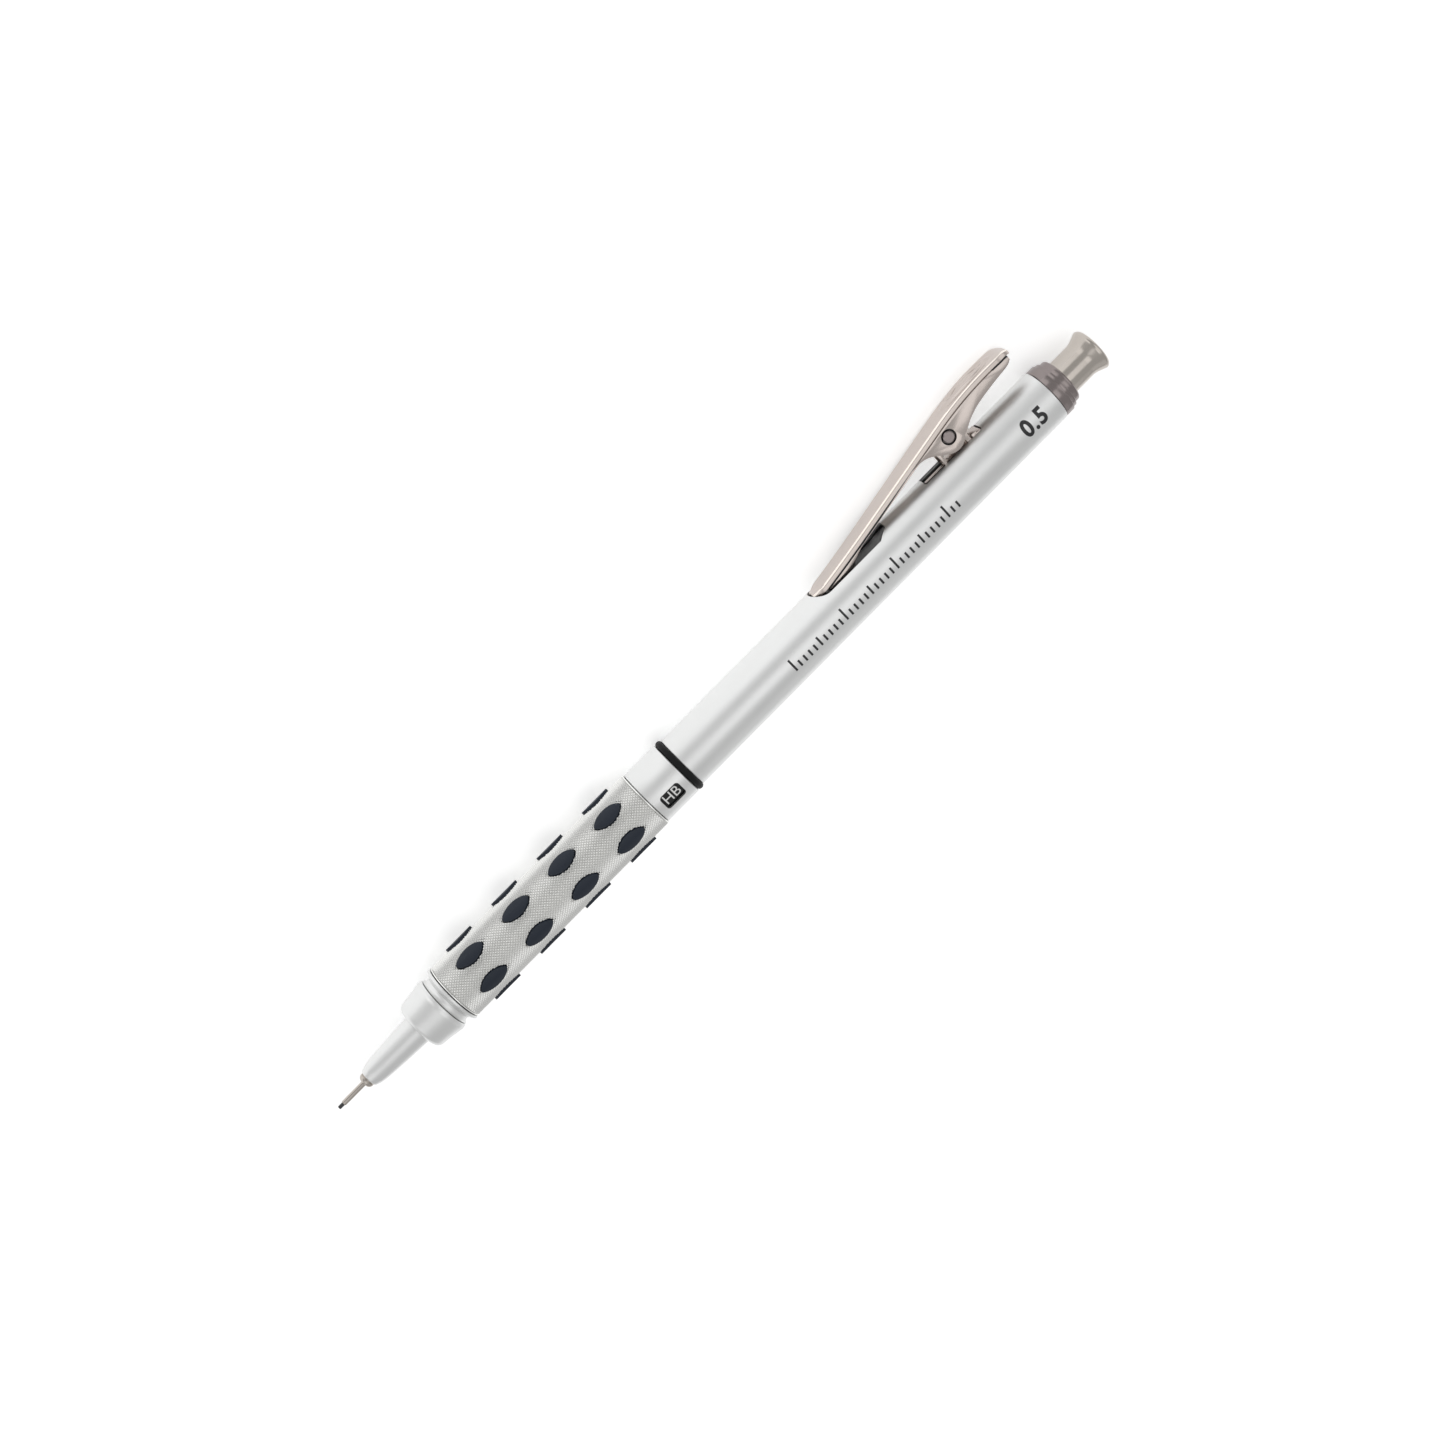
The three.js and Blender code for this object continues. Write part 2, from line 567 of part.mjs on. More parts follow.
// One rubber sleeve under the grip; its pads come up through the grip's holes.
function padSleeve() {
  const front = gripFront + 0.5;
  const rear = gripRear - 0.5;
  const base = toSolid(tube(front, rear, padSleeveRadius, padSleeveBore, OUTER_FACES));
  const crown = toSolid(tube(front, rear, padRadius, padSleeveBore + PAD_SLEEVE_WALL / 2, OUTER_FACES));
  const pads = aroundGrip(() => planPrism(leaf(PAD_LENGTH, PAD_WIDTH), padSleeveBore, padRadius + 1));
  return toGeometry(base.add(crown.intersect(pads)));
}

function gripSleeve() {
  const body = toSolid(tube(gripFront, gripRear, gripRadius, gripBore, OUTER_FACES, GRIP_EDGE));
  const hole = leaf(PAD_LENGTH + 3 * PAD_HOLE_GAP, PAD_WIDTH + 2 * PAD_HOLE_GAP);
  return toGeometry(body.subtract(aroundGrip(() => planPrism(hole, gripBore - 1, gripRadius + 1))));
}

function gradeDial() {
  const front = (gradeFront + gradeRear - GRADE_DIAL_LENGTH) / 2;
  return tube(front, front + GRADE_DIAL_LENGTH, padSleeveRadius, padSleeveBore, OUTER_FACES);
}

function gradeRing() {
  const body = toSolid(tube(gradeFront, gradeRear, gradeRingRadius, gradeRingBore, OUTER_FACES, 0.1));
  const opening = roundedBox(GRADE_WINDOW_WIDTH, GRADE_WINDOW_LENGTH, GRADE_WINDOW_CORNER);
  const cutter = planPrism(opening, gradeRingBore - 1, gradeRingRadius + 1);
  cutter.translate(0, (gradeFront + gradeRear) / 2, 0);
  cutter.rotateY(THREE.MathUtils.degToRad(GRADE_WINDOW_ANGLE));
  return toGeometry(body.subtract(toSolid(cutter)));
}

function oRing() {
  const rear = oRingFront + O_RING_WIDTH;
  const bore = coreRadius + FIT;
  return turned([
    [oRingFront, oRingRadius - 0.3], [oRingFront + 0.14, oRingRadius - 0.09], [oRingFront + 0.36, oRingRadius],
    [rear - 0.36, oRingRadius], [rear - 0.14, oRingRadius - 0.09], [rear, oRingRadius - 0.3], [rear, bore],
    [oRingFront, bore],
  ]);
}

// ---- barrel and collar ----

function barrelBush() {
  return tube(barrelFront + END_GAP, coreRear, barrelBore - FIT, coreRadius + FIT, OUTER_FACES);
}

// The clip's catch drops into the window; its bracket stands in the slot behind.
function barrel() {
  const body = tube(barrelFront, barrelRear, barrelRadius, barrelBore, OUTER_FACES, BARREL_EDGE);
  const outline = [];
  const steps = 8;
  for (let i = 0; i <= steps; i += 1) {
    const angle = Math.PI * (i / steps);
    outline.push([-WINDOW_HALF * Math.cos(angle), windowFront + 2.6 * (1 - Math.sin(angle))]);
  }
  outline.push([WINDOW_HALF, windowRear - 1.9], [1.7, windowRear], [-1.7, windowRear], [-WINDOW_HALF, windowRear - 1.9]);
  const slot = boxShape(-SLOT_HALF, slotRear - SLOT_LENGTH, SLOT_HALF, slotRear);
  const top = barrelRadius + 1;
  const cuts = toSolid(planPrism(shapeThrough(outline), 1, top)).add(toSolid(planPrism(slot, 1, top)));
  return toGeometry(toSolid(body).subtract(cuts));
}

function rearCollar() {
  const front = barrelRear + END_GAP;
  const first = front + 1.4;
  const second = first + 0.65;
  return turned([
    [collarFront, barrelBore - FIT], [front, barrelBore - FIT], [front, barrelRadius - 0.05],
    [first, barrelRadius - 0.05], [first + 0.1, barrelRadius - 0.29], [second, barrelRadius - 0.29],
    [second + 0.2, barrelRadius - 0.6], [collarRear - 0.4, barrelRadius - 0.6], [collarRear - 0.12, collarBore + 0.4],
    [collarRear, collarBore + 0.2], [collarRear, collarBore], [collarFront, collarBore],
  ]);
}

// ---- clip, in a frame of its own: y along the pencil and z out, both measured from the pin ----

// Height of the clip's outer face, nearly straight in front, flatter over the tail and rounded at both ends.
function faceHeight(y) {
  let height = CLIP_FACE_HEIGHT + CLIP_SLOPE * y;
  if (y > 0) height -= CLIP_TAIL_CURVE * y * y;
  const beyond = Math.min(0, y + CLIP_NOSE_STRAIGHT);
  height += CLIP_NOSE_CURVE * beyond * beyond;
  const frontTurn = Math.max(0, 1 - (y + CLIP_REACH) / 1.6);
  const rearTurn = Math.max(0, 1 - (CLIP_TAIL - y) / 2.4);
  height -= 0.1 * (1 - Math.sqrt(1 - Math.min(1, frontTurn ** 2)));
  height -= 1.5 * (1 - Math.sqrt(1 - Math.min(1, rearTurn ** 2)));
  return height;
}

function clipStations(from, to) {
  const inner = [-CLIP_REACH + 0.15, -CLIP_REACH + 0.5, -CLIP_REACH + 1.6, -22, -CLIP_NOSE_STRAIGHT, -8, 0, 4, 8];
  inner.push(CLIP_TAIL - 2.4, CLIP_TAIL - 1, CLIP_TAIL - 0.35, CLIP_TAIL - 0.08);
  return [from, ...inner.filter((y) => y > from && y < to), to];
}

// The space between the outer face lowered by two depths, as seen from the side.
function sideBand(from, to, upper, lower) {
  const stations = clipStations(from, to);
  const top = stations.map((y) => [y, faceHeight(y) - upper]);
  const bottom = stations.map((y) => [y, faceHeight(y) - lower]).reverse();
  return shapeThrough([...top, ...bottom].reverse());
}

// The clip seen from outside, narrower by inset all round.
function clipPlan(inset) {
  const halfAt = (y) => CLIP_FRONT_HALF + ((CLIP_REAR_HALF - CLIP_FRONT_HALF) * (y + CLIP_REACH)) / (CLIP_REACH + CLIP_TAIL);
  const front = -CLIP_REACH + inset;
  const rear = CLIP_TAIL - inset;
  const [nose, tail] = [2.2, 2.3];
  const edge = [];
  for (const turn of [0, 0.2, 0.4, 0.6, 0.8, 1]) {
    const angle = (Math.PI / 2) * turn;
    edge.push([(halfAt(front + nose) - inset) * (0.25 + 0.75 * Math.sin(angle)), front + nose * (1 - Math.cos(angle))]);
  }
  for (const turn of [1, 0.8, 0.6, 0.4, 0.2, 0]) {
    const angle = (Math.PI / 2) * turn;
    edge.push([(halfAt(rear - tail) - inset) * (0.3 + 0.7 * Math.sin(angle)), rear - tail * (1 - Math.cos(angle))]);
  }
  const mirrored = edge.map(([x, y]) => [-x, y]).reverse();
  return shapeThrough([...edge, ...mirrored]);
}

const CLIP_WIDE = CLIP_REAR_HALF + 1;

function clipBand(upper, lower, inset) {
  const side = toSolid(sidePlate(sideBand(-CLIP_REACH, CLIP_TAIL, upper, lower), -CLIP_WIDE, CLIP_WIDE));
  return side.intersect(toSolid(planPrism(clipPlan(inset), -20, 20)));
}

// The outer sheet, with edges turned down all round and a raised oval where the thumb presses.
function clipCover() {
  const skin = clipBand(0, CLIP_LIP, 0).subtract(clipBand(CLIP_SHEET, CLIP_LIP + 2, CLIP_SHEET));
  const oval = new THREE.Shape();
  oval.absellipse(0, THUMB_START + THUMB_LENGTH / 2, THUMB_WIDTH / 2, THUMB_LENGTH / 2, 0, 2 * Math.PI);
  const thumb = clipBand(-THUMB_RISE, CLIP_SHEET / 2, 0).intersect(toSolid(planPrism(oval, -20, 20)));
  return toGeometry(skin.add(thumb));
}

// The lower edge of the side plates: catch, long hollow, eye and tail.
function plateOutline() {
  const shape = new THREE.Shape();
  const top = faceHeight(-CLIP_REACH + 2.45) - CLIP_LIP - CLIP_SEAM;
  shape.moveTo(-CLIP_REACH + 2.45, top);
  shape.lineTo(-CLIP_REACH + 2.45, -CATCH_DEPTH);
  shape.lineTo(-CLIP_REACH + 6.75, -CATCH_DEPTH);
  shape.quadraticCurveTo(-CLIP_REACH + 8.5, -2.4, -16.7, -1.96);
  shape.lineTo(-9, -0.2);
  shape.quadraticCurveTo(-4.4, 0.8, -2.3, -0.7);
  shape.lineTo(2.3, -1.75);
  shape.quadraticCurveTo(4.6, 0.3, 8.5, 0.88);
  shape.lineTo(12.2, 1.5);
  shape.lineTo(12.9, faceHeight(12.9) - CLIP_LIP - CLIP_SEAM);
  const upper = clipStations(-CLIP_REACH + 2.45, 12.9).reverse().slice(1, -1);
  for (const y of upper) shape.lineTo(y, faceHeight(y) - CLIP_LIP - CLIP_SEAM);
  shape.closePath();
  return shape;
}

// The inner channel: a web under the cover and two side plates with the pivot eyes and the catch.
function clipFrame() {
  const plan = (inset) => toSolid(planPrism(clipPlan(inset), -20, 20));
  const eye = new THREE.Shape();
  eye.absarc(0, 0, PIN_RADIUS + EYE_GAP + EYE_WALL, 0, 2 * Math.PI);
  const plates = toSolid(sidePlate(plateOutline(), -CLIP_WIDE, CLIP_WIDE));
  const eyes = toSolid(sidePlate(eye, -CLIP_WIDE, CLIP_WIDE));
  const below = clipBand(CLIP_LIP + CLIP_SEAM, 20, 0.05);
  const sides = plates.add(eyes).intersect(below).subtract(plan(CLIP_PLATE));
  const webTop = CLIP_SHEET + SLIDE;
  const webInset = CLIP_SHEET + SLIDE;
  const web = clipBand(webTop, webTop + CLIP_SHEET, webInset);
  const riser = clipBand(webTop, CLIP_LIP + CLIP_SEAM + 0.3, webInset).subtract(plan(webInset + CLIP_SHEET));
  const inside = toSolid(sidePlate(boxShape(-CLIP_REACH + 2.45, -8, 12.9, 8), -CLIP_WIDE, CLIP_WIDE));
  const hole = new THREE.Shape();
  hole.absarc(0, 0, PIN_RADIUS + EYE_GAP, 0, 2 * Math.PI);
  const solid = sides.add(web.add(riser).intersect(inside)).subtract(toSolid(sidePlate(hole, -CLIP_WIDE, CLIP_WIDE)));
  return toGeometry(solid);
}

function plateHalfAtPin() {
  return CLIP_FRONT_HALF + ((CLIP_REAR_HALF - CLIP_FRONT_HALF) * CLIP_REACH) / (CLIP_REACH + CLIP_TAIL);
}

function pivotPin() {
  const half = plateHalfAtPin() + 0.05;
  const pin = new THREE.CylinderGeometry(PIN_RADIUS, PIN_RADIUS, 2 * half, INNER_FACES);
  return pin.rotateZ(Math.PI / 2);
}

// A folded sheet: a base in the barrel's slot with a tongue in front, two ears for the pin and a rear claw.
function clipBracket() {
  const half = plateHalfAtPin() - CLIP_PLATE - 0.15;
  const base = -PIVOT_HEIGHT - barrelRadius + carrierRearRadius + 0.2;
  const baseTop = base + BRACKET_SHEET;
  const rear = slotRear - pivotY - 0.2;
  const front = rear - BRACKET_LENGTH;
  const floor = toSolid(planPrism(boxShape(-half, front, half, rear), base, baseTop));
  const tongue = toSolid(planPrism(boxShape(-0.7, front - BRACKET_TONGUE, 0.7, front + 0.5), base, baseTop - 0.1));
  const eyeRadius = PIN_RADIUS + FIT + BRACKET_EYE_WALL;
  const ear = shapeThrough([[-1.7, base], [1.7, base], [eyeRadius, 0], [-eyeRadius, 0]]);
  const eye = new THREE.Shape();
  eye.absarc(0, 0, eyeRadius, 0, 2 * Math.PI);
  const ears = toSolid(sidePlate(ear, -half, half)).add(toSolid(sidePlate(eye, -half, half)));
  const between = planPrism(boxShape(-half + BRACKET_SHEET, -5, half - BRACKET_SHEET, 5), baseTop, 5);
  const claw = toSolid(planPrism(boxShape(-half, rear - 0.9, half, rear), base, baseTop + 1.2));
  const hole = new THREE.Shape();
  hole.absarc(0, 0, PIN_RADIUS + FIT, 0, 2 * Math.PI);
  const folded = ears.subtract(toSolid(between)).add(floor).add(tongue).add(claw);
  return toGeometry(folded.subtract(toSolid(sidePlate(hole, -CLIP_WIDE, CLIP_WIDE))));
}

// A wire wound round the pin. Its front leg stands on the bracket and its rear leg lifts the clip's tail.
function clipSpring() {
  const radius = PIN_RADIUS + CLIP_WIRE + SLIDE;
  const half = plateHalfAtPin() - CLIP_PLATE - 0.15 - BRACKET_SHEET - 0.2 - CLIP_WIRE;
  const base = -PIVOT_HEIGHT - barrelRadius + carrierRearRadius + 0.2 + BRACKET_SHEET;
  const points = [new THREE.Vector3(-half, -1.9, base + CLIP_WIRE + 0.1)];
  const steps = CLIP_SPRING_TURNS * 8;
  for (let i = 0; i <= steps; i += 1) {
    const angle = Math.PI + (2 * Math.PI * CLIP_SPRING_TURNS * i) / steps + (Math.PI * 0.4 * i) / steps;
    const across = -half + (2 * half * i) / steps;
    points.push(new THREE.Vector3(across, radius * Math.cos(angle), -radius * Math.sin(angle)));
  }
  points.push(new THREE.Vector3(half, 3.6, faceHeight(3.6) - 2 * CLIP_SHEET - SLIDE - CLIP_WIRE - 0.25));
  const path = new THREE.CatmullRomCurve3(points, false, 'centripetal');
  return new THREE.ExtrudeGeometry(wireSection(CLIP_WIRE), { steps: 40, extrudePath: path, bevelEnabled: false });
}

// ---- assembly ----

function piece(name, geometry, look) {
  const mesh = new THREE.Mesh(geometry, new THREE.MeshStandardMaterial(look));
  mesh.name = name;
  return mesh;
}

const pencil = new THREE.Group();
pencil.add(
  piece('lead', lead(), GRAPHITE),
  piece('guide_pipe', guidePipe(), CHROME),
  piece('pipe_ferrule', pipeFerrule(), CHROME),
  piece('tip_cone', tipCone(), SATIN),
  piece('lead_retainer', leadRetainer(), BLACK_RUBBER),
  piece('chuck', chuck(), BRASS),
  piece('clutch_ring', clutchRing(), BRASS),
  piece('chuck_sleeve', chuckSleeve(), BRASS),
  piece('chuck_spring', chuckSpring(), STEEL),
  piece('chuck_connector', chuckConnector(), BLACK_PLASTIC),
  piece('lead_tube', leadTube(), BLACK_PLASTIC),
  piece('eraser_holder', eraserHolder(), STEEL),
  piece('eraser', eraser(), WHITE_RUBBER),
  piece('push_button', pushButton(), CHROME),
  piece('carrier_tube', carrierTube(), BLACK_PLASTIC),
  piece('retract_spring', retractSpring(), STEEL),
  piece('nose_cap', noseCap(), SATIN),
  piece('grip_core', gripCore(), SATIN),
  piece('pad_sleeve', padSleeve(), PAD_RUBBER),
  piece('grip_sleeve', gripSleeve(), KNURLED),
  piece('grade_dial', gradeDial(), BLACK_PLASTIC),
  piece('grade_ring', gradeRing(), SATIN),
  piece('o_ring', oRing(), BLACK_RUBBER),
  piece('barrel_bush', barrelBush(), BRASS),
  piece('barrel', barrel(), SATIN),
  piece('rear_collar', rearCollar(), CHROME),
);

const clip = new THREE.Group();
clip.position.set(0, pivotY, pivotZ);
clip.add(
  piece('clip_cover', clipCover(), NICKEL),
  piece('clip_frame', clipFrame(), NICKEL),
  piece('pivot_pin', pivotPin(), CHROME),
  piece('clip_bracket', clipBracket(), STEEL),
  piece('clip_spring', clipSpring(), STEEL),
);
pencil.add(clip);

// The pencil lies on a pad and on the side edge of its clip, with the tip towards +X.
const edgeStation = 8.5;
const edgeHeight = pivotZ + faceHeight(edgeStation);
const edgeHalf = CLIP_REAR_HALF - 0.06;
const edgeReach = Math.hypot(edgeHeight, edgeHalf);
const fromDown = Math.acos((padRadius - 0.08) / edgeReach) + Math.atan2(edgeHalf, edgeHeight);
const drop = Math.PI / 2 - fromDown;
const across = new THREE.Vector3(0, -Math.sin(drop), Math.cos(drop));
const back = new THREE.Vector3(-1, 0, 0);
const out = new THREE.Vector3(0, -Math.cos(drop), -Math.sin(drop));
pencil.quaternion.setFromRotationMatrix(new THREE.Matrix4().makeBasis(across, back, out));

const bounds = new THREE.Box3().setFromObject(pencil, true);
const middle = bounds.getCenter(new THREE.Vector3());
pencil.position.set(-middle.x, -middle.y, -bounds.min.z);

const desk = new THREE.Group();
desk.add(pencil);

export default desk;
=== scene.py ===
"""A drafting mechanical pencil with a retracting tip, laid out as an add-on of one operator per piece."""

import json
import math

import bmesh
import bpy
from mathutils import Matrix, Vector


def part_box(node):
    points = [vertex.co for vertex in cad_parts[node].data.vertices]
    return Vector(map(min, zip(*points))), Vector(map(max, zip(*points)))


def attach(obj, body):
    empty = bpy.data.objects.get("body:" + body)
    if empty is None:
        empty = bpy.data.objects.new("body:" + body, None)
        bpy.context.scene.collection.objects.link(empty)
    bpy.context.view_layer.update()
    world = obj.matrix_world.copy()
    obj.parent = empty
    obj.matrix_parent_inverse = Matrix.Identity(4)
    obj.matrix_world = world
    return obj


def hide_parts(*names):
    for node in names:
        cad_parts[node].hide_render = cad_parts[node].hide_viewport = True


bl_info = {
    "name": "Drafting Pencil",
    "version": (1, 0, 0),
    "blender": (4, 5, 0),
    "location": "View3D > Sidebar > Pencil",
    "description": "Builds a drafting mechanical pencil piece by piece around its packed frame",
    "category": "Add Mesh",
}

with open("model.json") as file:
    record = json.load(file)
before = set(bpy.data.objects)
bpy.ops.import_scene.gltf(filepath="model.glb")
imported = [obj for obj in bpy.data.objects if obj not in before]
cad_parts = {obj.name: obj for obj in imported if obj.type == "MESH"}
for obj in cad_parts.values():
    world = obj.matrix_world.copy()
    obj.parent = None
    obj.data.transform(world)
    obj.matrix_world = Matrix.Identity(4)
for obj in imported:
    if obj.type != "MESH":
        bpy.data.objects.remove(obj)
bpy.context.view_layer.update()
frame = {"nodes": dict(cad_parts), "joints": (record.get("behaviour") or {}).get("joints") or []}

# The bench: x points out through the clip, y across it and z back from the lead's point, in millimetres.
MM = 0.001
CLIP_JOINT = next(j for j in frame["joints"] if j["name"] == "clip_pivot")
ACROSS = -Vector(CLIP_JOINT["axis"]).normalized()
BACK = Vector((-1, 0, 0))
OUT = ACROSS.cross(BACK).normalized()


def box_of(node):
    low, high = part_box(node)
    return Vector(low), Vector(high)


LOW_BUTTON, HIGH_BUTTON = box_of("push_button")
AXIS = (LOW_BUTTON + HIGH_BUTTON) / 2
POINT = Vector((box_of("lead")[1].x, AXIS.y, AXIS.z))
LAY = Matrix(
    (
        (OUT.x, ACROSS.x, BACK.x, POINT.x / MM),
        (OUT.y, ACROSS.y, BACK.y, POINT.y / MM),
        (OUT.z, ACROSS.z, BACK.z, POINT.z / MM),
        (0, 0, 0, 1 / MM),
    )
) * MM
LAY[3][3] = 1


def span(node):
    """Front and rear stations of a CAD node, in millimetres behind the lead's point."""
    low, high = box_of(node)
    return (POINT.x - high.x) / MM, (POINT.x - low.x) / MM


def radius_of(node):
    """Outer radius of a turned CAD node, in millimetres."""
    low, high = box_of(node)
    return max(high.y - low.y, high.z - low.z) / 2 / MM


def extent(node):
    """Front station, rear station and outer radius of a turned CAD node."""
    return *span(node), radius_of(node)


PIVOT = LAY.inverted() @ Vector(CLIP_JOINT["pos_m"])
BARREL_RADIUS = radius_of("barrel")
GRIP_RADIUS = radius_of("grip_sleeve")


# ---- settings a user would change ----

def colour_setting(name, description, default):
    return bpy.props.FloatVectorProperty(
        name=name, description=description, subtype="COLOR", size=3, default=default, min=0, max=1)


def length_setting(name, description, default, low, high):
    return bpy.props.FloatProperty(
        name=name, description=description + ", in millimetres", default=default, min=low, max=high)


class PencilColours(bpy.types.PropertyGroup):
    """Colours of the finishes"""

    silver: colour_setting("Silver", "Satin barrel, nose and ring", (0.78, 0.785, 0.78))
    knurl: colour_setting("Knurl", "Knurled grip", (0.92, 0.92, 0.90))
    nickel: colour_setting("Nickel", "Clip plating", (0.56, 0.50, 0.465))
    chrome: colour_setting("Chrome", "Button, pipe and ferrule plating", (0.50, 0.46, 0.42))
    collar: colour_setting("Collar", "Rear collar plating", (0.27, 0.235, 0.23))
    pads: colour_setting("Pads", "Rubber grip pads", (0.016, 0.022, 0.034))


class PencilSizes(bpy.types.PropertyGroup):
    """Sizes of the fine surface work"""

    knurl_length: length_setting("Knurl Length", "One diamond along the grip", 0.54, 0.3, 2)
    knurl_width: length_setting("Knurl Width", "One diamond round the grip", 0.49, 0.3, 2)
    knurl_depth: length_setting("Knurl Depth", "Height of the diamonds", 0.16, 0.02, 0.3)
    facets: bpy.props.IntProperty(
        name="Facets", description="Faces round each turned piece", default=96, min=24, max=192)


# ---- modelling helpers ----

# A cutter drawn in x and y stands on end here: x goes across, y along the pencil and its thickness outwards.
STAND = Matrix(((0, 0, 1, 0), (1, 0, 0, 0), (0, 1, 0, 0), (0, 0, 0, 1)))


def sideways(across):
    """Turns a plate drawn in height and station so that its thickness goes across, from a place there."""
    return Matrix(((1, 0, 0, 0), (0, 0, 1, across), (0, 1, 0, 0), (0, 0, 0, 1)))


def deselect():
    if bpy.context.object and bpy.context.object.mode != "OBJECT":
        bpy.ops.object.mode_set(mode="OBJECT")
    bpy.ops.object.select_all(action="DESELECT")


def make_active(piece):
    deselect()
    piece.select_set(True)
    bpy.context.view_layer.objects.active = piece


def just_added(name):
    """The object a primitive has just added, with its name given."""
    piece = bpy.context.object
    piece.name = piece.data.name = name
    return piece


def edit(piece):
    """Opens a piece in edit mode with all of it selected."""
    make_active(piece)
    bpy.ops.object.mode_set(mode="EDIT")
    bpy.ops.mesh.select_all(action="SELECT")


def face_outwards(weld=None):
    """In edit mode: welds doubles within a distance, if given, and turns every face outwards."""
    bpy.ops.mesh.select_all(action="SELECT")
    if weld:
        bpy.ops.mesh.remove_doubles(threshold=weld)
    bpy.ops.mesh.normals_make_consistent(inside=False)


def fix_normals(piece, weld=None):
    edit(piece)
    face_outwards(weld)
    bpy.ops.object.mode_set(mode="OBJECT")


def close_up(piece):
    """Welds doubles, fills open rims and turns every face outwards."""
    edit(piece)
    bpy.ops.mesh.remove_doubles(threshold=1e-4)
    bpy.ops.mesh.select_all(action="DESELECT")
    bpy.ops.mesh.select_mode(type="EDGE")
    bpy.ops.mesh.select_non_manifold(extend=False)
    bpy.ops.mesh.fill_holes(sides=0)
    face_outwards()
    bpy.ops.object.mode_set(mode="OBJECT")


def turned(name, outline, around=None, closed=True):
    """A lathe job: a ring pulled and scaled from station to station along an outline of (station, radius)."""
    deselect()
    around = around or bpy.context.scene.pencil_sizes.facets
    station, radius = outline[0]
    bpy.ops.mesh.primitive_circle_add(vertices=around, radius=radius, location=(0, 0, station))
    piece = just_added(name)
    bpy.ops.object.transform_apply(location=True)
    edit(piece)
    for next_station, next_radius in outline[1:] + ([outline[0]] if closed else []):
        bpy.ops.mesh.extrude_region_move(TRANSFORM_OT_translate={"value": (0, 0, next_station - station)})
        ratio = next_radius / radius
        bpy.ops.transform.resize(value=(ratio, ratio, 1), center_override=(0, 0, next_station))
        station, radius = next_station, next_radius
    close_up(piece)
    return piece


def arc(station, radius, reach, rise, start, end, steps=5):
    """Points on an ellipse round (station, radius), from one angle to another in degrees; 0 points back."""
    points = []
    for i in range(steps + 1):
        angle = math.radians(start + (end - start) * i / steps)
        points.append((station + reach * math.cos(angle), radius + rise * math.sin(angle)))
    return points


def front_edge(station, radius, rounding, steps=3):
    """The rounded outer edge of a front face."""
    return arc(station + rounding, radius - rounding, rounding, rounding, 180, 90, steps)


def rear_edge(station, radius, rounding, steps=3):
    """The rounded outer edge of a rear face."""
    return arc(station - rounding, radius - rounding, rounding, rounding, 90, 0, steps)


def cut_out(name, outline, thickness):
    """A plate: a filled ring whose corners are moved to an outline in x and y, then pulled up."""
    deselect()
    bpy.ops.mesh.primitive_circle_add(vertices=len(outline), radius=1, fill_type="NGON")
    piece = just_added(name)
    for vertex, (x, y) in zip(piece.data.vertices, outline):
        vertex.co = (x, y, 0)
    edit(piece)
    bpy.ops.mesh.extrude_region_move(TRANSFORM_OT_translate={"value": (0, 0, thickness)})
    face_outwards()
    bpy.ops.object.mode_set(mode="OBJECT")
    return piece


def apply_modifier(piece, kind, **settings):
    make_active(piece)
    modifier = piece.modifiers.new(kind.lower(), kind)
    for key, value in settings.items():
        setattr(modifier, key, value)
    bpy.ops.object.modifier_apply(modifier=modifier.name)


def thicken(piece, thickness):
    """Gives a sheet its thickness, half to each side."""
    apply_modifier(piece, "SOLIDIFY", thickness=thickness, offset=0)
    fix_normals(piece)


def carve(piece, tool, operation="DIFFERENCE"):
    apply_modifier(piece, "BOOLEAN", object=tool, operation=operation, solver="EXACT")
    bpy.data.objects.remove(tool)


def soften(piece, width, segments=2, angle=35):
    apply_modifier(
        piece, "BEVEL", width=width, segments=segments, limit_method="ANGLE",
        angle_limit=math.radians(angle), harden_normals=False)


def turn_piece(piece, matrix):
    """Moves a finished solid to its place on the bench and makes that its mesh."""
    make_active(piece)
    piece.matrix_world = matrix
    bpy.ops.object.transform_apply(location=True, rotation=True, scale=True)


def join(pieces, name):
    deselect()
    for piece in pieces:
        piece.select_set(True)
    bpy.context.view_layer.objects.active = pieces[0]
    bpy.ops.object.join()
    return just_added(name)


def hand_over(piece, body, look, node=None, angle=32):
    """Lays a finished piece into the frame, shades it and ties it to its body and finish."""
    make_active(piece)
    bpy.ops.object.shade_smooth_by_angle(angle=math.radians(angle))
    turn_piece(piece, LAY)
    piece.data.materials.clear()
    piece.data.materials.append(finish(look))
    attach(piece, body)
    if node:
        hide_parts(node)
    return piece


def lathe(node, outline, body, look, around=None, closed=True):
    """Turns the piece that stands in for a CAD node and hands it over."""
    hand_over(turned("fine_" + node, outline, around, closed), body, look, node)


# ---- shared shader groups ----

SURFACE = ("Roughness", "Height", "Tone")


def new_group(name, inputs, outputs):
    """An empty group of number sockets, with its entry and exit."""
    group = bpy.data.node_groups.new(name, "ShaderNodeTree")
    for label, default in inputs.items():
        socket = group.interface.new_socket(name=label, in_out="INPUT", socket_type="NodeSocketFloat")
        socket.default_value = default
    for label in outputs:
        group.interface.new_socket(name=label, in_out="OUTPUT", socket_type="NodeSocketFloat")
    return group, group.nodes.new("NodeGroupInput"), group.nodes.new("NodeGroupOutput")


def feed(tree, value, socket):
    """Links a socket, or gives it a plain number."""
    if isinstance(value, (int, float)):
        socket.default_value = value
    else:
        tree.links.new(value, socket)


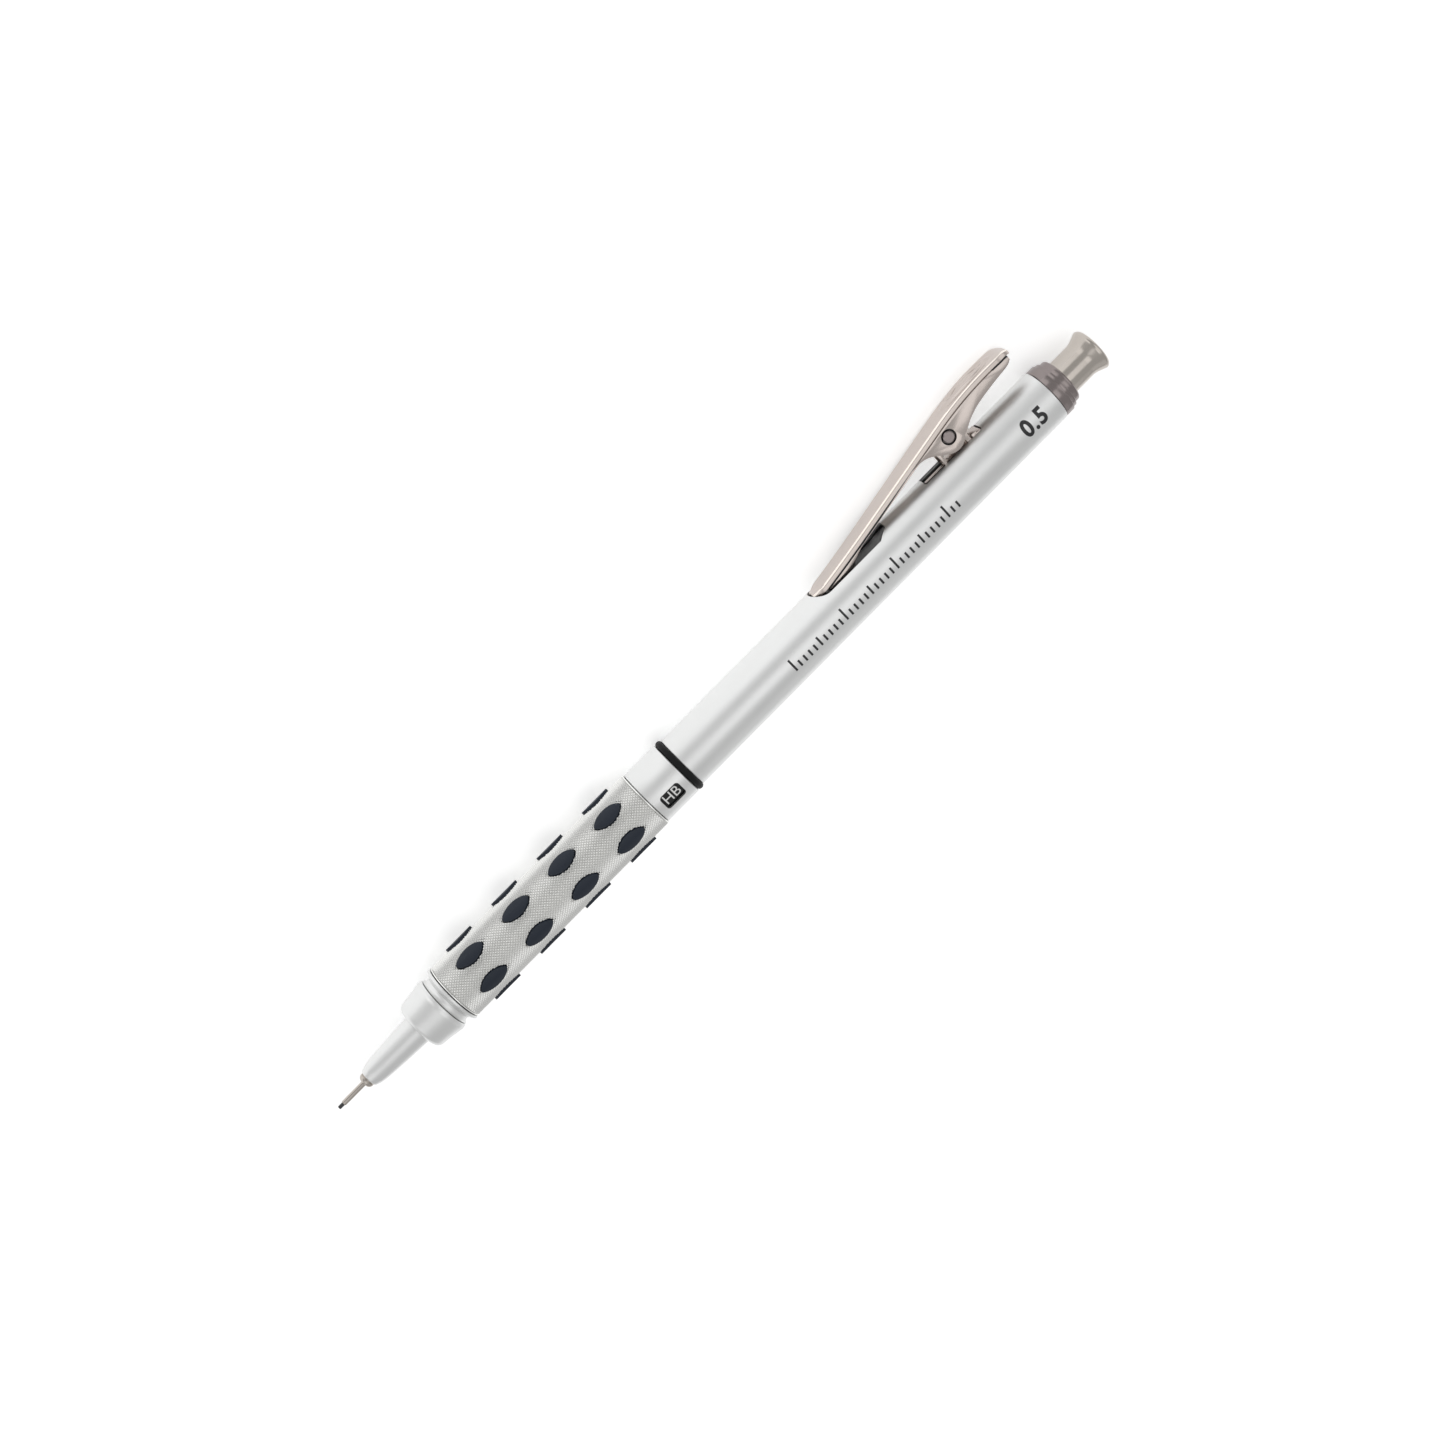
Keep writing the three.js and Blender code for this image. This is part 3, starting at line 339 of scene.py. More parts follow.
def maths(tree, operation, first, second):
    node = tree.nodes.new("ShaderNodeMath")
    node.operation = operation
    feed(tree, first, node.inputs[0])
    feed(tree, second, node.inputs[1])
    return node.outputs[0]


def noise(tree, vector, scale, detail=4.0, roughness=0.6):
    node = tree.nodes.new("ShaderNodeTexNoise")
    node.inputs["Detail"].default_value = detail
    node.inputs["Roughness"].default_value = roughness
    tree.links.new(vector, node.inputs["Vector"])
    feed(tree, scale, node.inputs["Scale"])
    return node.outputs[0]


def swing(tree, value, amount):
    """A noise's distance from its middle, times an amount."""
    return maths(tree, "MULTIPLY", maths(tree, "SUBTRACT", value, 0.5), amount)


def grain_group(name):
    """Blasted metal: fine even grain, with broad soft handling marks in its roughness and tone."""
    inputs = {"Grain Scale": 6000, "Base Roughness": 0.3, "Roughness Spread": 0.1, "Tone Spread": 0.05}
    group, entry, leave = new_group(name, inputs, SURFACE)
    place = group.nodes.new("ShaderNodeTexCoord").outputs["Object"]
    fine = noise(group, place, entry.outputs["Grain Scale"], 3.0)
    marks = maths(group, "SUBTRACT", noise(group, place, 120.0, 3.0), 0.5)
    mixed = maths(group, "ADD", marks, swing(group, fine, 0.6))
    rough = maths(group, "MULTIPLY", mixed, entry.outputs["Roughness Spread"])
    tone = maths(group, "MULTIPLY", marks, entry.outputs["Tone Spread"])
    feed(group, maths(group, "ADD", rough, entry.outputs["Base Roughness"]), leave.inputs["Roughness"])
    feed(group, fine, leave.inputs["Height"])
    feed(group, maths(group, "ADD", tone, 1.0), leave.inputs["Tone"])


def hairline_group(name):
    """Hairlines drawn along one direction, as brushing leaves on plated sheet."""
    inputs = {"Across Scale": 9000, "Along Scale": 120, "Base Roughness": 0.2, "Roughness Spread": 0.1}
    group, entry, leave = new_group(name, inputs, SURFACE)
    place = group.nodes.new("ShaderNodeTexCoord").outputs["Object"]
    stretch = group.nodes.new("ShaderNodeCombineXYZ")
    for socket, label in zip(stretch.inputs, ("Along Scale", "Across Scale", "Across Scale")):
        feed(group, entry.outputs[label], socket)
    multiply = group.nodes.new("ShaderNodeVectorMath")
    multiply.operation = "MULTIPLY"
    feed(group, place, multiply.inputs[0])
    feed(group, stretch.outputs[0], multiply.inputs[1])
    lines = noise(group, multiply.outputs[0], 1.0, 2.0)
    spread = swing(group, lines, entry.outputs["Roughness Spread"])
    tone = swing(group, noise(group, place, 260.0), 0.12)
    feed(group, maths(group, "ADD", spread, entry.outputs["Base Roughness"]), leave.inputs["Roughness"])
    feed(group, lines, leave.inputs["Height"])
    feed(group, maths(group, "ADD", tone, 1.0), leave.inputs["Tone"])


def valley_group(name):
    """Darkens what lies between two radii round the pencil's axis, as shade fills a knurl's valleys."""
    inputs = {"Valley Radius": 0.004, "Crest Radius": 0.005, "Darkest": 0.4}
    group, entry, leave = new_group(name, inputs, ("Tone",))
    parts = group.nodes.new("ShaderNodeSeparateXYZ")
    feed(group, group.nodes.new("ShaderNodeTexCoord").outputs["Object"], parts.inputs[0])
    away = [maths(group, "SUBTRACT", parts.outputs[axis], POINT[axis]) for axis in (1, 2)]
    squares = [maths(group, "MULTIPLY", side, side) for side in away]
    scale = group.nodes.new("ShaderNodeMapRange")
    feed(group, maths(group, "SQRT", maths(group, "ADD", *squares), 0), scale.inputs["Value"])
    feed(group, entry.outputs["Valley Radius"], scale.inputs["From Min"])
    feed(group, entry.outputs["Crest Radius"], scale.inputs["From Max"])
    feed(group, entry.outputs["Darkest"], scale.inputs["To Min"])
    feed(group, scale.outputs["Result"], leave.inputs["Tone"])


GROUPS = {"fine_grain": grain_group, "hairlines": hairline_group, "valley_tone": valley_group}


def place_group(tree, name, values):
    """Places a shared group, built at its first use, with this material's own values."""
    if name not in bpy.data.node_groups:
        GROUPS[name](name)
    node = tree.nodes.new("ShaderNodeGroup")
    node.node_tree = bpy.data.node_groups[name]
    for socket, value in zip(node.inputs, values):
        socket.default_value = value
    return node


# ---- finishes ----

# Each finish: its colour or the setting that holds it, metallic, the shared group and the group's values in
# their order, bump and specular.
FINISHES = {
    "satin_silver": ("silver", 1.0, "fine_grain", (7000, 0.40, 0.10, 0.06), 0.30, 0.5),
    "knurled_silver": ("knurl", 1.0, "fine_grain", (7000, 0.34, 0.12, 0.10), 0.25, 0.5),
    "clip_nickel": ("nickel", 1.0, "hairlines", (5000, 90, 0.24, 0.08), 0.10, 0.5),
    # painted highlight: a lighter nickel on the cover's rolled edge, standing in for the light that edge
    # catches
    "burnished_edge": ((0.93, 0.86, 0.79), 1.0, "hairlines", (5000, 90, 0.22, 0.08), 0.05, 0.5),
    "bright_chrome": ("chrome", 1.0, "fine_grain", (2500, 0.20, 0.06, 0.06), 0.03, 0.5),
    "collar_chrome": ("collar", 1.0, "fine_grain", (2500, 0.20, 0.08, 0.08), 0.03, 0.5),
    "spring_steel": ((0.50, 0.48, 0.46), 1.0, "hairlines", (4000, 400, 0.28, 0.12), 0.10, 0.5),
    "turned_brass": ((0.70, 0.51, 0.24), 1.0, "fine_grain", (4000, 0.28, 0.12, 0.12), 0.10, 0.5),
    # real black plastic, and also painted shade on the seam strips, the slot block and the pivot washers
    "black_plastic": ((0.006, 0.0065, 0.007), 0.0, "fine_grain", (5000, 0.32, 0.12, 0.30), 0.15, 0.35),
    "black_rubber": ((0.005, 0.005, 0.0055), 0.0, "fine_grain", (6000, 0.58, 0.15, 0.30), 0.30, 0.2),
    "pad_rubber": ("pads", 0.0, "fine_grain", (5000, 0.42, 0.18, 0.40), 0.30, 0.25),
    "white_eraser": ((0.82, 0.81, 0.78), 0.0, "fine_grain", (3500, 0.75, 0.15, 0.10), 0.45, 0.5),
    "graphite": ((0.045, 0.045, 0.048), 0.35, "fine_grain", (8000, 0.42, 0.20, 0.35), 0.40, 0.5),
    "black_ink": ((0.012, 0.012, 0.014), 0.0, "fine_grain", (9000, 0.35, 0.10, 0.25), 0.10, 0.5),
    "white_ink": ((0.80, 0.80, 0.79), 0.0, "fine_grain", (9000, 0.45, 0.10, 0.10), 0.10, 0.5),
    "pale_floor": ((0.93, 0.93, 0.93), 0.0, "fine_grain", (300, 0.70, 0.05, 0.01), 0.02, 0.2),
}
BUMP_DISTANCE = 0.00002
VALLEY_TONE, CREST_SHARE = 0.72, 0.2


def tone_down(tree, colour, tone):
    """Multiplies a colour, or the socket it comes from, by a tone and gives it to the shader."""
    node = tree.nodes.new("ShaderNodeMix")
    node.data_type = "RGBA"
    node.blend_type = "MULTIPLY"
    node.inputs["Factor"].default_value = 1.0
    if isinstance(colour, tuple):
        node.inputs["A"].default_value = colour
    else:
        tree.links.new(colour, node.inputs["A"])
    tree.links.new(tone, node.inputs["B"])
    tree.links.new(node.outputs["Result"], tree.nodes["Principled BSDF"].inputs["Base Color"])


def finish(name):
    """The material of a finish, made once: a Principled shader varied by one shared group."""
    title = "fine_" + name
    if title in bpy.data.materials:
        return bpy.data.materials[title]
    colour, metallic, group, values, bump, specular = FINISHES[name]
    if isinstance(colour, str):
        colour = getattr(bpy.context.scene.pencil_colours, colour)
    material = bpy.data.materials.new(title)
    material.use_nodes = True
    tree = material.node_tree
    shader = tree.nodes["Principled BSDF"]
    shader.inputs["Metallic"].default_value = metallic
    shader.inputs["Specular IOR Level"].default_value = specular
    effect = place_group(tree, group, values)
    tone_down(tree, (*colour, 1), effect.outputs["Tone"])
    tree.links.new(effect.outputs["Roughness"], shader.inputs["Roughness"])
    relief = tree.nodes.new("ShaderNodeBump")
    relief.inputs["Strength"].default_value = bump
    relief.inputs["Distance"].default_value = BUMP_DISTANCE
    tree.links.new(effect.outputs["Height"], relief.inputs["Height"])
    tree.links.new(relief.outputs["Normal"], shader.inputs["Normal"])
    if name in EXTRAS:
        EXTRAS[name](tree)
    return material


def shade_valleys(tree):
    """Darkens the grip's silver in the valleys of its knurl."""
    depth = bpy.context.scene.pencil_sizes.knurl_depth
    radii = (GRIP_RADIUS - depth) * MM, (GRIP_RADIUS - depth * CREST_SHARE) * MM
    valleys = place_group(tree, "valley_tone", (*radii, VALLEY_TONE))
    base = tree.nodes["Principled BSDF"].inputs["Base Color"]
    tone_down(tree, base.links[0].from_socket, valleys.outputs["Tone"])


def glow(tree):
    """Makes the floor a light table, so that shadows on it stay soft."""
    shader = tree.nodes["Principled BSDF"]
    shader.inputs["Emission Color"].default_value = (1, 1, 1, 1)
    shader.inputs["Emission Strength"].default_value = FLOOR_GLOW


EXTRAS = {"knurled_silver": shade_valleys, "pale_floor": glow}


# ---- lead and tip ----

def lead():
    """The lead, with a blunt end."""
    front, rear, radius = extent("lead")
    outline = [(front, radius * 0.86), (front + 0.05, radius * 0.97), (front + 0.1, radius), (rear, radius)]
    lathe("lead", outline, "lead_rod", "graphite", 32, closed=False)


def guide_pipe():
    """The pipe that guides the lead."""
    front, rear, radius = extent("guide_pipe")
    bore = radius_of("lead") + 0.03
    outline = [(front, bore), *front_edge(front, radius, 0.05), (rear, radius), (rear, bore)]
    lathe("guide_pipe", outline, "carrier", "bright_chrome", 48)


def pipe_ferrule():
    """The domed ferrule that holds the pipe."""
    front, rear, radius = extent("pipe_ferrule")
    bore = radius_of("guide_pipe") + 0.02
    head = span("tip_cone")[0] - 0.05
    neck = radius * 0.78
    groove = radius - 0.06
    dome = arc(head - 0.32, bore + 0.02, head - 0.32 - front, radius - bore - 0.02, 180, 90, 10)
    outline = [(front, bore), *dome, (head - 0.2, radius), (head - 0.17, groove), (head - 0.12, groove)]
    outline += [(head - 0.08, radius), (head, radius), (head, neck), (rear, neck), (rear, bore)]
    lathe("pipe_ferrule", outline, "carrier", "bright_chrome", 64)


CONE_BULGE = 0.73


def tip_cone():
    """The retracting tip cone."""
    front, rear, radius = extent("tip_cone")
    nose = span("nose_cap")[0]
    bore = radius_of("chuck_sleeve") + 0.03
    throat, pipe_seat = 1.5, 0.95
    shoulder, slope = front + 1.45, 1.8
    full = nose + 2.2
    outline = [(front, pipe_seat), (front, 1.25), *arc(front + 0.16, 1.30, 0.16, 0.16, 180, 90, 4)]
    outline += [(front + 0.62, 1.62), (front + 1.05, 1.74)]
    for along in [i / 14 for i in range(15)]:
        outline.append((shoulder + (full - shoulder) * along, slope + (radius - slope) * along ** CONE_BULGE))
    outline += [(rear, radius), (rear, bore), (nose + 1.5, bore), (nose + 1.5, throat)]
    outline += [(front + 7, throat), (front + 7, pipe_seat)]
    lathe("tip_cone", outline, "carrier", "satin_silver")


# ---- nose, grip and grade ring ----

CORE_BORE, CORE_WALL = 2.9, 3.3
SLEEVE_BORE = 3.35


def nose_cap():
    """The nose cap."""
    front, rear, radius = extent("nose_cap")
    bore = radius_of("tip_cone") + 0.17
    outline = [(front, bore), (front, bore + 0.15)]
    outline += arc(front + 1.0, radius - 1.45, 1.0, 1.0, 180, 97, 10)
    outline += [(front + 2.4, radius - 0.30), (rear - 0.95, radius - 0.03)]
    outline += arc(rear - 0.75, radius - 0.55, 0.85, 0.55, 90, 30, 7)
    outline += [(rear, radius - 0.42), (rear, SLEEVE_BORE), (front + 1.4, SLEEVE_BORE), (front + 1.4, bore)]
    lathe("nose_cap", outline, "barrel_body", "satin_silver", 128)


def grip_core():
    """The grip's core, with its neck ring in front."""
    front, rear, flare = extent("grip_core")
    neck = span("nose_cap")[1] + 0.06
    end = span("grip_sleeve")[0] - 0.10
    outline = [(front, CORE_BORE), (front, CORE_WALL), (neck, CORE_WALL), (neck, 4.02), (neck + 0.03, 4.10)]
    outline += arc(neck + 0.62, 4.27, 0.58, 0.42, 190, 300, 8)
    outline += [(neck + 1.15, 4.22), (neck + 1.38, 4.52)]
    outline += arc(neck + 1.62, flare - 0.2, 0.22, 0.2, 150, 60, 5)
    outline += [(end - 0.04, flare - 0.12), (end, flare - 0.35), (end, CORE_WALL), (rear, CORE_WALL)]
    outline += [(rear, CORE_BORE)]
    lathe("grip_core", outline, "barrel_body", "satin_silver", 128)


PAD_RINGS, PAD_COLUMNS = 4, 6
PAD_FIRST, PAD_LAST, PAD_ANGLE = 5.75, 5.35, 43.0
PAD_LENGTH, PAD_WIDTH = 4.85, 2.2
PAD_GAP, PAD_PROUD = 0.12, 0.33
PAD_BASE = 3.95
LEAF_FULLNESS = 0.68
RIM = 0.24


def almond_tool(name, length, width, low, high):
    """A prism shaped like a blunt-ended leaf, pointing along z and standing out along x."""
    points = []
    for i in range(64):
        angle = 2 * math.pi * i / 64
        along = math.cos(angle)
        across = math.copysign(abs(1 - along * along) ** LEAF_FULLNESS, math.sin(angle)) if i % 32 else 0.0
        points.append((across * width / 2, along * length / 2))
    almond = cut_out(name, points, high - low)
    turn_piece(almond, Matrix.Translation((low, 0, 0)) @ STAND)
    fix_normals(almond)
    return almond


def pad_places():
    front, rear = span("grip_sleeve")
    pitch = (rear - front - PAD_FIRST - PAD_LAST) / (PAD_RINGS - 1)
    for ring in range(PAD_RINGS):
        for column in range(PAD_COLUMNS):
            turn = Matrix.Rotation(math.radians(PAD_ANGLE + 360 / PAD_COLUMNS * column), 4, "Z")
            yield Matrix.Translation((0, 0, front + PAD_FIRST + pitch * ring)) @ turn


def spread_over_grip(pattern):
    copies = []
    for place in pad_places():
        twin = pattern.copy()
        twin.data = pattern.data.copy()
        bpy.context.scene.collection.objects.link(twin)
        turn_piece(twin, place)
        copies.append(twin)
    name = pattern.name + "s"
    bpy.data.objects.remove(pattern)
    return join(copies, name)


def pad_sleeve():
    """The rubber sleeve inside the grip, with its crowned pads standing out through the holes."""
    front, rear = span("pad_sleeve")
    top = GRIP_RADIUS + PAD_PROUD
    pad = almond_tool("pad", PAD_LENGTH, PAD_WIDTH, PAD_BASE - 0.3, top + 1)
    deselect()
    bpy.ops.mesh.primitive_cylinder_add(vertices=160, radius=top, depth=2 * PAD_LENGTH)
    carve(pad, bpy.context.object, "INTERSECT")
    soften(pad, 0.10, 3, 50)
    pads = spread_over_grip(pad)
    outline = [(front, SLEEVE_BORE), (front, PAD_BASE), (rear, PAD_BASE), (rear, SLEEVE_BORE)]
    piece = join([turned("sleeve_base", outline, 64), pads], "fine_pad_sleeve")
    hand_over(piece, "barrel_body", "pad_rubber", "pad_sleeve", 40)


def select_edges(piece, wanted):
    """Selects the edges for which wanted(edge) holds, in edit mode."""
    bpy.ops.mesh.select_mode(type="EDGE")
    bpy.ops.mesh.select_all(action="DESELECT")
    net = bmesh.from_edit_mesh(piece.data)
    for edge in net.edges:
        if wanted(edge):
            edge.select = True
    bmesh.update_edit_mesh(piece.data)


def pull_edges(piece, place):
    """In edit mode: extrudes the selected edges and puts each new corner where place(corner) says."""
    bpy.ops.mesh.extrude_region_move(TRANSFORM_OT_translate={"value": (0, 0, 0)})
    net = bmesh.from_edit_mesh(piece.data)
    for vertex in net.verts:
        if vertex.select:
            vertex.co = place(vertex.co.copy())
    bmesh.update_edit_mesh(piece.data)


def is_grid_edge(edge):
    """True for an inner edge of the wrapped grid, which runs straight round or straight along the tube."""
    first, second = (vertex.co for vertex in edge.verts)
    along = abs(first.x * second.y - first.y * second.x) < 1e-2
    return len(edge.link_faces) == 2 and (along or abs(first.z - second.z) < 1e-4)


def wrapped_grid(name, front, rear, radius, around, rows):
    """A grid rolled into an open tube."""
    deselect()
    bpy.ops.mesh.primitive_grid_add(x_subdivisions=around, y_subdivisions=rows, size=1)
    piece = just_added(name)
    for vertex in piece.data.vertices:
        angle = (vertex.co.x + 0.5) * 2 * math.pi
        station = front + (vertex.co.y + 0.5) * (rear - front)
        vertex.co = (radius * math.cos(angle), radius * math.sin(angle), station)
    return piece


def raise_diamonds(piece, height):
    """In edit mode: pokes a net of squares into diamonds, clears the squares and pokes the diamonds up."""
    bpy.ops.mesh.poke(offset=0.0)
    select_edges(piece, is_grid_edge)
    bpy.ops.mesh.dissolve_edges(use_verts=False)
    bpy.ops.mesh.select_mode(type="FACE")
    face_outwards()
    bpy.ops.mesh.poke(offset=height)


def close_end(piece, end, stages):
    """In edit mode: pulls the tube's open rim at one end through stages of (station, radius)."""
    select_edges(piece, lambda e: e.is_boundary and all(abs(v.co.z - end) < 1e-3 for v in e.verts))
    for station, radius in stages:
        pull_edges(piece, lambda co: (*(co.xy.normalized() * radius), station))


def knurled_tube(name, front, rear, crest, bore):
    """A tube whose outside is a net of raised diamonds, between plain rims."""
    sizes = bpy.context.scene.pencil_sizes
    around = round(2 * math.pi * crest / sizes.knurl_width)
    rows = round((rear - front) / sizes.knurl_length)
    piece = wrapped_grid(name, front, rear, crest - sizes.knurl_depth, around, rows)
    edit(piece)
    face_outwards(1e-4)
    raise_diamonds(piece, sizes.knurl_depth)
    for end, step in ((rear, RIM / 1.5), (front, -RIM / 1.5)):
        stages = [(end + step * 0.3, crest - 0.02), (end + step * 1.2, crest - 0.02)]
        stages += [(end + step * 1.5, crest - 0.14), (end + step * 1.5, bore)]
        close_end(piece, end, stages + ([(rear + RIM, bore)] if end == front else []))
    face_outwards(1e-3)
    bpy.ops.object.mode_set(mode="OBJECT")
    return piece


def grip_sleeve():
    """The knurled grip, with a hole round each pad."""
    front, rear = span("grip_sleeve")
    piece = knurled_tube("fine_grip_sleeve", front + RIM, rear - RIM, GRIP_RADIUS, 4.0)
    holes = almond_tool("hole", PAD_LENGTH + 2.6 * PAD_GAP, PAD_WIDTH + 2 * PAD_GAP, 3.2, GRIP_RADIUS + 1)
    carve(piece, spread_over_grip(holes))
    hand_over(piece, "barrel_body", "knurled_silver", "grip_sleeve", 20)


def rounded_box(width, length, corner, steps=6):
    """Corner points of a rounded rectangle, centred, in x and y."""
    points = []
    for quarter, (sx, sy) in enumerate(((1, 1), (-1, 1), (-1, -1), (1, -1))):
        for i in range(steps + 1):
            angle = math.radians(90 * quarter + 90 * i / steps)
            centre = (sx * (width / 2 - corner), sy * (length / 2 - corner))
            points.append((centre[0] + corner * math.cos(angle), centre[1] + corner * math.sin(angle)))
    return points


WINDOW_ANGLE = 102.5


def grade_ring():
    """The ring with the grade window."""
    front, rear, radius = extent("grade_ring")
    bore = 4.05
    outline = [(front, bore), *front_edge(front, radius, 0.1), *rear_edge(rear, radius, 0.1), (rear, bore)]
    piece = turned("fine_grade_ring", outline, 128)
    opening = cut_out("opening", rounded_box(2.5, 3.5, 0.5), 3)
    turn = Matrix.Rotation(math.radians(WINDOW_ANGLE), 4, "Z")
    place = Matrix.Translation((0, 0, (front + rear) / 2)) @ turn
    turn_piece(opening, place @ Matrix.Translation((3.2, 0, 0)) @ STAND)
    carve(piece, opening)
    hand_over(piece, "grade", "satin_silver", "grade_ring")


def wrap(piece, radius, angle, station):
    """Rolls flat work in x (along the pencil) and y (round it) onto the barrel, and keeps z as its height."""
    for vertex in piece.data.vertices:
        along, around, height = vertex.co
        turn = math.radians(angle) - around / radius
        reach = radius + height
        vertex.co = (reach * math.cos(turn), reach * math.sin(turn), station + along)


def slice_flat(piece, low, high, cuts):
    """Cuts flat work into strips along x, so that it can follow a round surface."""
    edit(piece)
    for i in range(1, cuts):
        bpy.ops.mesh.select_all(action="SELECT")
        height = low + (high - low) * i / cuts
        bpy.ops.mesh.bisect(plane_co=(0, height, 0), plane_no=(0, 1, 0))
    bpy.ops.object.mode_set(mode="OBJECT")


def lettering(name, words, height, squeeze=1.0, weight=0.0, spacing=1.0):
    """Generic printed characters, flat on the bench and centred, as a thin closed sheet of ink."""
    deselect()
    bpy.ops.object.text_add()
    piece = bpy.context.object
    piece.name = name
    piece.data.body = words
    piece.data.align_x = "CENTER"
    piece.data.align_y = "CENTER"
    piece.data.resolution_u = 6
    piece.data.offset = weight
    piece.data.space_character = spacing
    bpy.ops.object.convert(target="MESH")
    piece = bpy.context.object
    bpy.context.view_layer.update()
    scale = height / piece.dimensions.y
    middle = sum((Vector(corner) for corner in piece.bound_box), Vector()) / 8
    turn_piece(piece, Matrix.Diagonal((scale * squeeze, scale, 1, 1)) @ Matrix.Translation(-middle))
    return piece


INK = 0.012


def print_on(piece, radius, angle, station, height, look):
    """Slices, thickens and rolls flat ink onto a round surface of the barrel."""
    slice_flat(piece, -height / 2, height / 2, 10)
    apply_modifier(piece, "SOLIDIFY", thickness=INK, offset=1)
    wrap(piece, radius, angle, station)
    fix_normals(piece, 1e-5)
    hand_over(piece, "barrel_body", look, angle=60)


GRADES = ["HB", "B", "2B", "2H", "H", "F"]
GRADE_HEIGHT = 1.6


def grade_dial():
    """The black band under the window, with the lead grades printed on it."""
    front, rear, radius = extent("grade_dial")
    outline = [(front, SLEEVE_BORE), (front, radius), (rear, radius), (rear, SLEEVE_BORE)]
    lathe("grade_dial", outline, "barrel_body", "black_plastic")
    for number, grade in enumerate(GRADES):
        letters = lettering(f"grade_mark_{number}", grade, GRADE_HEIGHT, 0.95)
        angle = WINDOW_ANGLE + 360 / len(GRADES) * number
        print_on(letters, radius + 0.01, angle, (front + rear) / 2, GRADE_HEIGHT, "white_ink")


def o_ring():
    """The rubber ring behind the grade ring."""
    front, rear, radius = extent("o_ring")
    rise = 0.42
    outline = [(front + 0.1, SLEEVE_BORE), (front + 0.02, radius - rise)]
    outline += arc((front + rear) / 2, radius - rise, (rear - front) / 2, rise, 180, 0, 12)
    outline += [(rear - 0.02, radius - rise), (rear - 0.1, SLEEVE_BORE)]
    lathe("o_ring", outline, "barrel_body", "black_rubber", 128)


# ---- barrel, collar and button ----

CLIP_REACH, CLIP_TAIL = 28.75, 14.2
WINDOW_HALF, WINDOW_LENGTH, WINDOW_FRONT = 2.75, 14.3, PIVOT.z - CLIP_REACH - 0.35
SLOT_HALF, SLOT_LENGTH, SLOT_REAR = 1.65, 11.0, PIVOT.z + 4.3
BARREL_WALL = 0.5


def window_outline():
    """Plan of the barrel's window, across and along: a round front and a square rear with clipped corners."""
    rear = WINDOW_FRONT + WINDOW_LENGTH
    points = []
    for angle in [math.pi * i / 24 for i in range(25)]:
        points.append((-WINDOW_HALF * math.cos(angle), WINDOW_FRONT + 2.6 * (1 - math.sin(angle))))
    return points + [(WINDOW_HALF, rear - 1.9), (1.7, rear), (-1.7, rear), (-WINDOW_HALF, rear - 1.9)]


def barrel():
    """The barrel with its window and slot."""
    front, rear = span("barrel")
    radius = BARREL_RADIUS
    bore = radius - BARREL_WALL
    outline = [(front, bore), *front_edge(front, radius, 0.12, 4), *rear_edge(rear, radius, 0.12, 4)]
    piece = turned("fine_barrel", outline + [(rear, bore)], 144)
    slot = rounded_box(2 * SLOT_HALF, SLOT_LENGTH, 0.3)
    for name, plan, station in (("window", window_outline(), 0), ("slot", slot, SLOT_REAR - SLOT_LENGTH / 2)):
        opening = cut_out(name, plan, 5)
        turn_piece(opening, Matrix.Translation((1, 0, station)) @ STAND)
        carve(piece, opening)
    hand_over(piece, "barrel_body", "satin_silver", "barrel")


SIZE_MARK_HEIGHT = 2.8
TICK_HEIGHTS = {0: 2.1, 5: 1.6}
TICK_BASE, SHORT_TICK = 1.05, 1.1


def barrel_marks():
    """The size mark and plain scale ticks printed along the barrel."""
    rear = span("barrel")[1]
    print_radius = BARREL_RADIUS + 0.004
    size_mark = lettering("size_mark", "0.5", SIZE_MARK_HEIGHT, 0.86, 0.034, 1.12)
    print_on(size_mark, print_radius, 89, rear - 4.6, SIZE_MARK_HEIGHT, "black_ink")
    first, last = rear - 52, rear - 20
    ticks = []
    for i in range(int(last - first) + 1):
        tall = TICK_HEIGHTS.get(i % 10, SHORT_TICK)
        tick = cut_out(f"tick_{i}", rounded_box(0.32, tall, 0.05, 2), INK)
        turn_piece(tick, Matrix.Translation((first + i - (first + last) / 2, tall / 2 - TICK_BASE, 0)))
        ticks.append(tick)
    scale = join(ticks, "scale_ticks")
    slice_flat(scale, -TICK_BASE, TICK_BASE, 8)
    wrap(scale, print_radius, 90, (first + last) / 2)
    hand_over(scale, "barrel_body", "black_ink", angle=60)


def rear_collar():
    """The stepped rear collar."""
    front, rear = span("rear_collar")
    start = span("barrel")[1] + 0.05
    radius = BARREL_RADIUS
    bore, mouth = 2.85, 3.22
    outline = [(front, bore), (front, radius - 0.55), (start, radius - 0.55), (start, radius - 0.14)]
    outline += [*front_edge(start, radius - 0.05, 0.1), *rear_edge(start + 1.4, radius - 0.05, 0.1)]
    outline += [(start + 1.42, radius - 0.32), (start + 1.55, radius - 0.29)]
    outline += [*rear_edge(start + 2.03, radius - 0.29, 0.08), (start + 2.08, radius - 0.62)]
    outline += [(start + 2.25, radius - 0.6), *arc(rear - 0.42, mouth, 0.42, radius - 0.6 - mouth, 90, 12, 7)]
    outline += [(rear, 3.05), (rear - 0.05, bore)]
    lathe("rear_collar", outline, "barrel_body", "collar_chrome", 128)


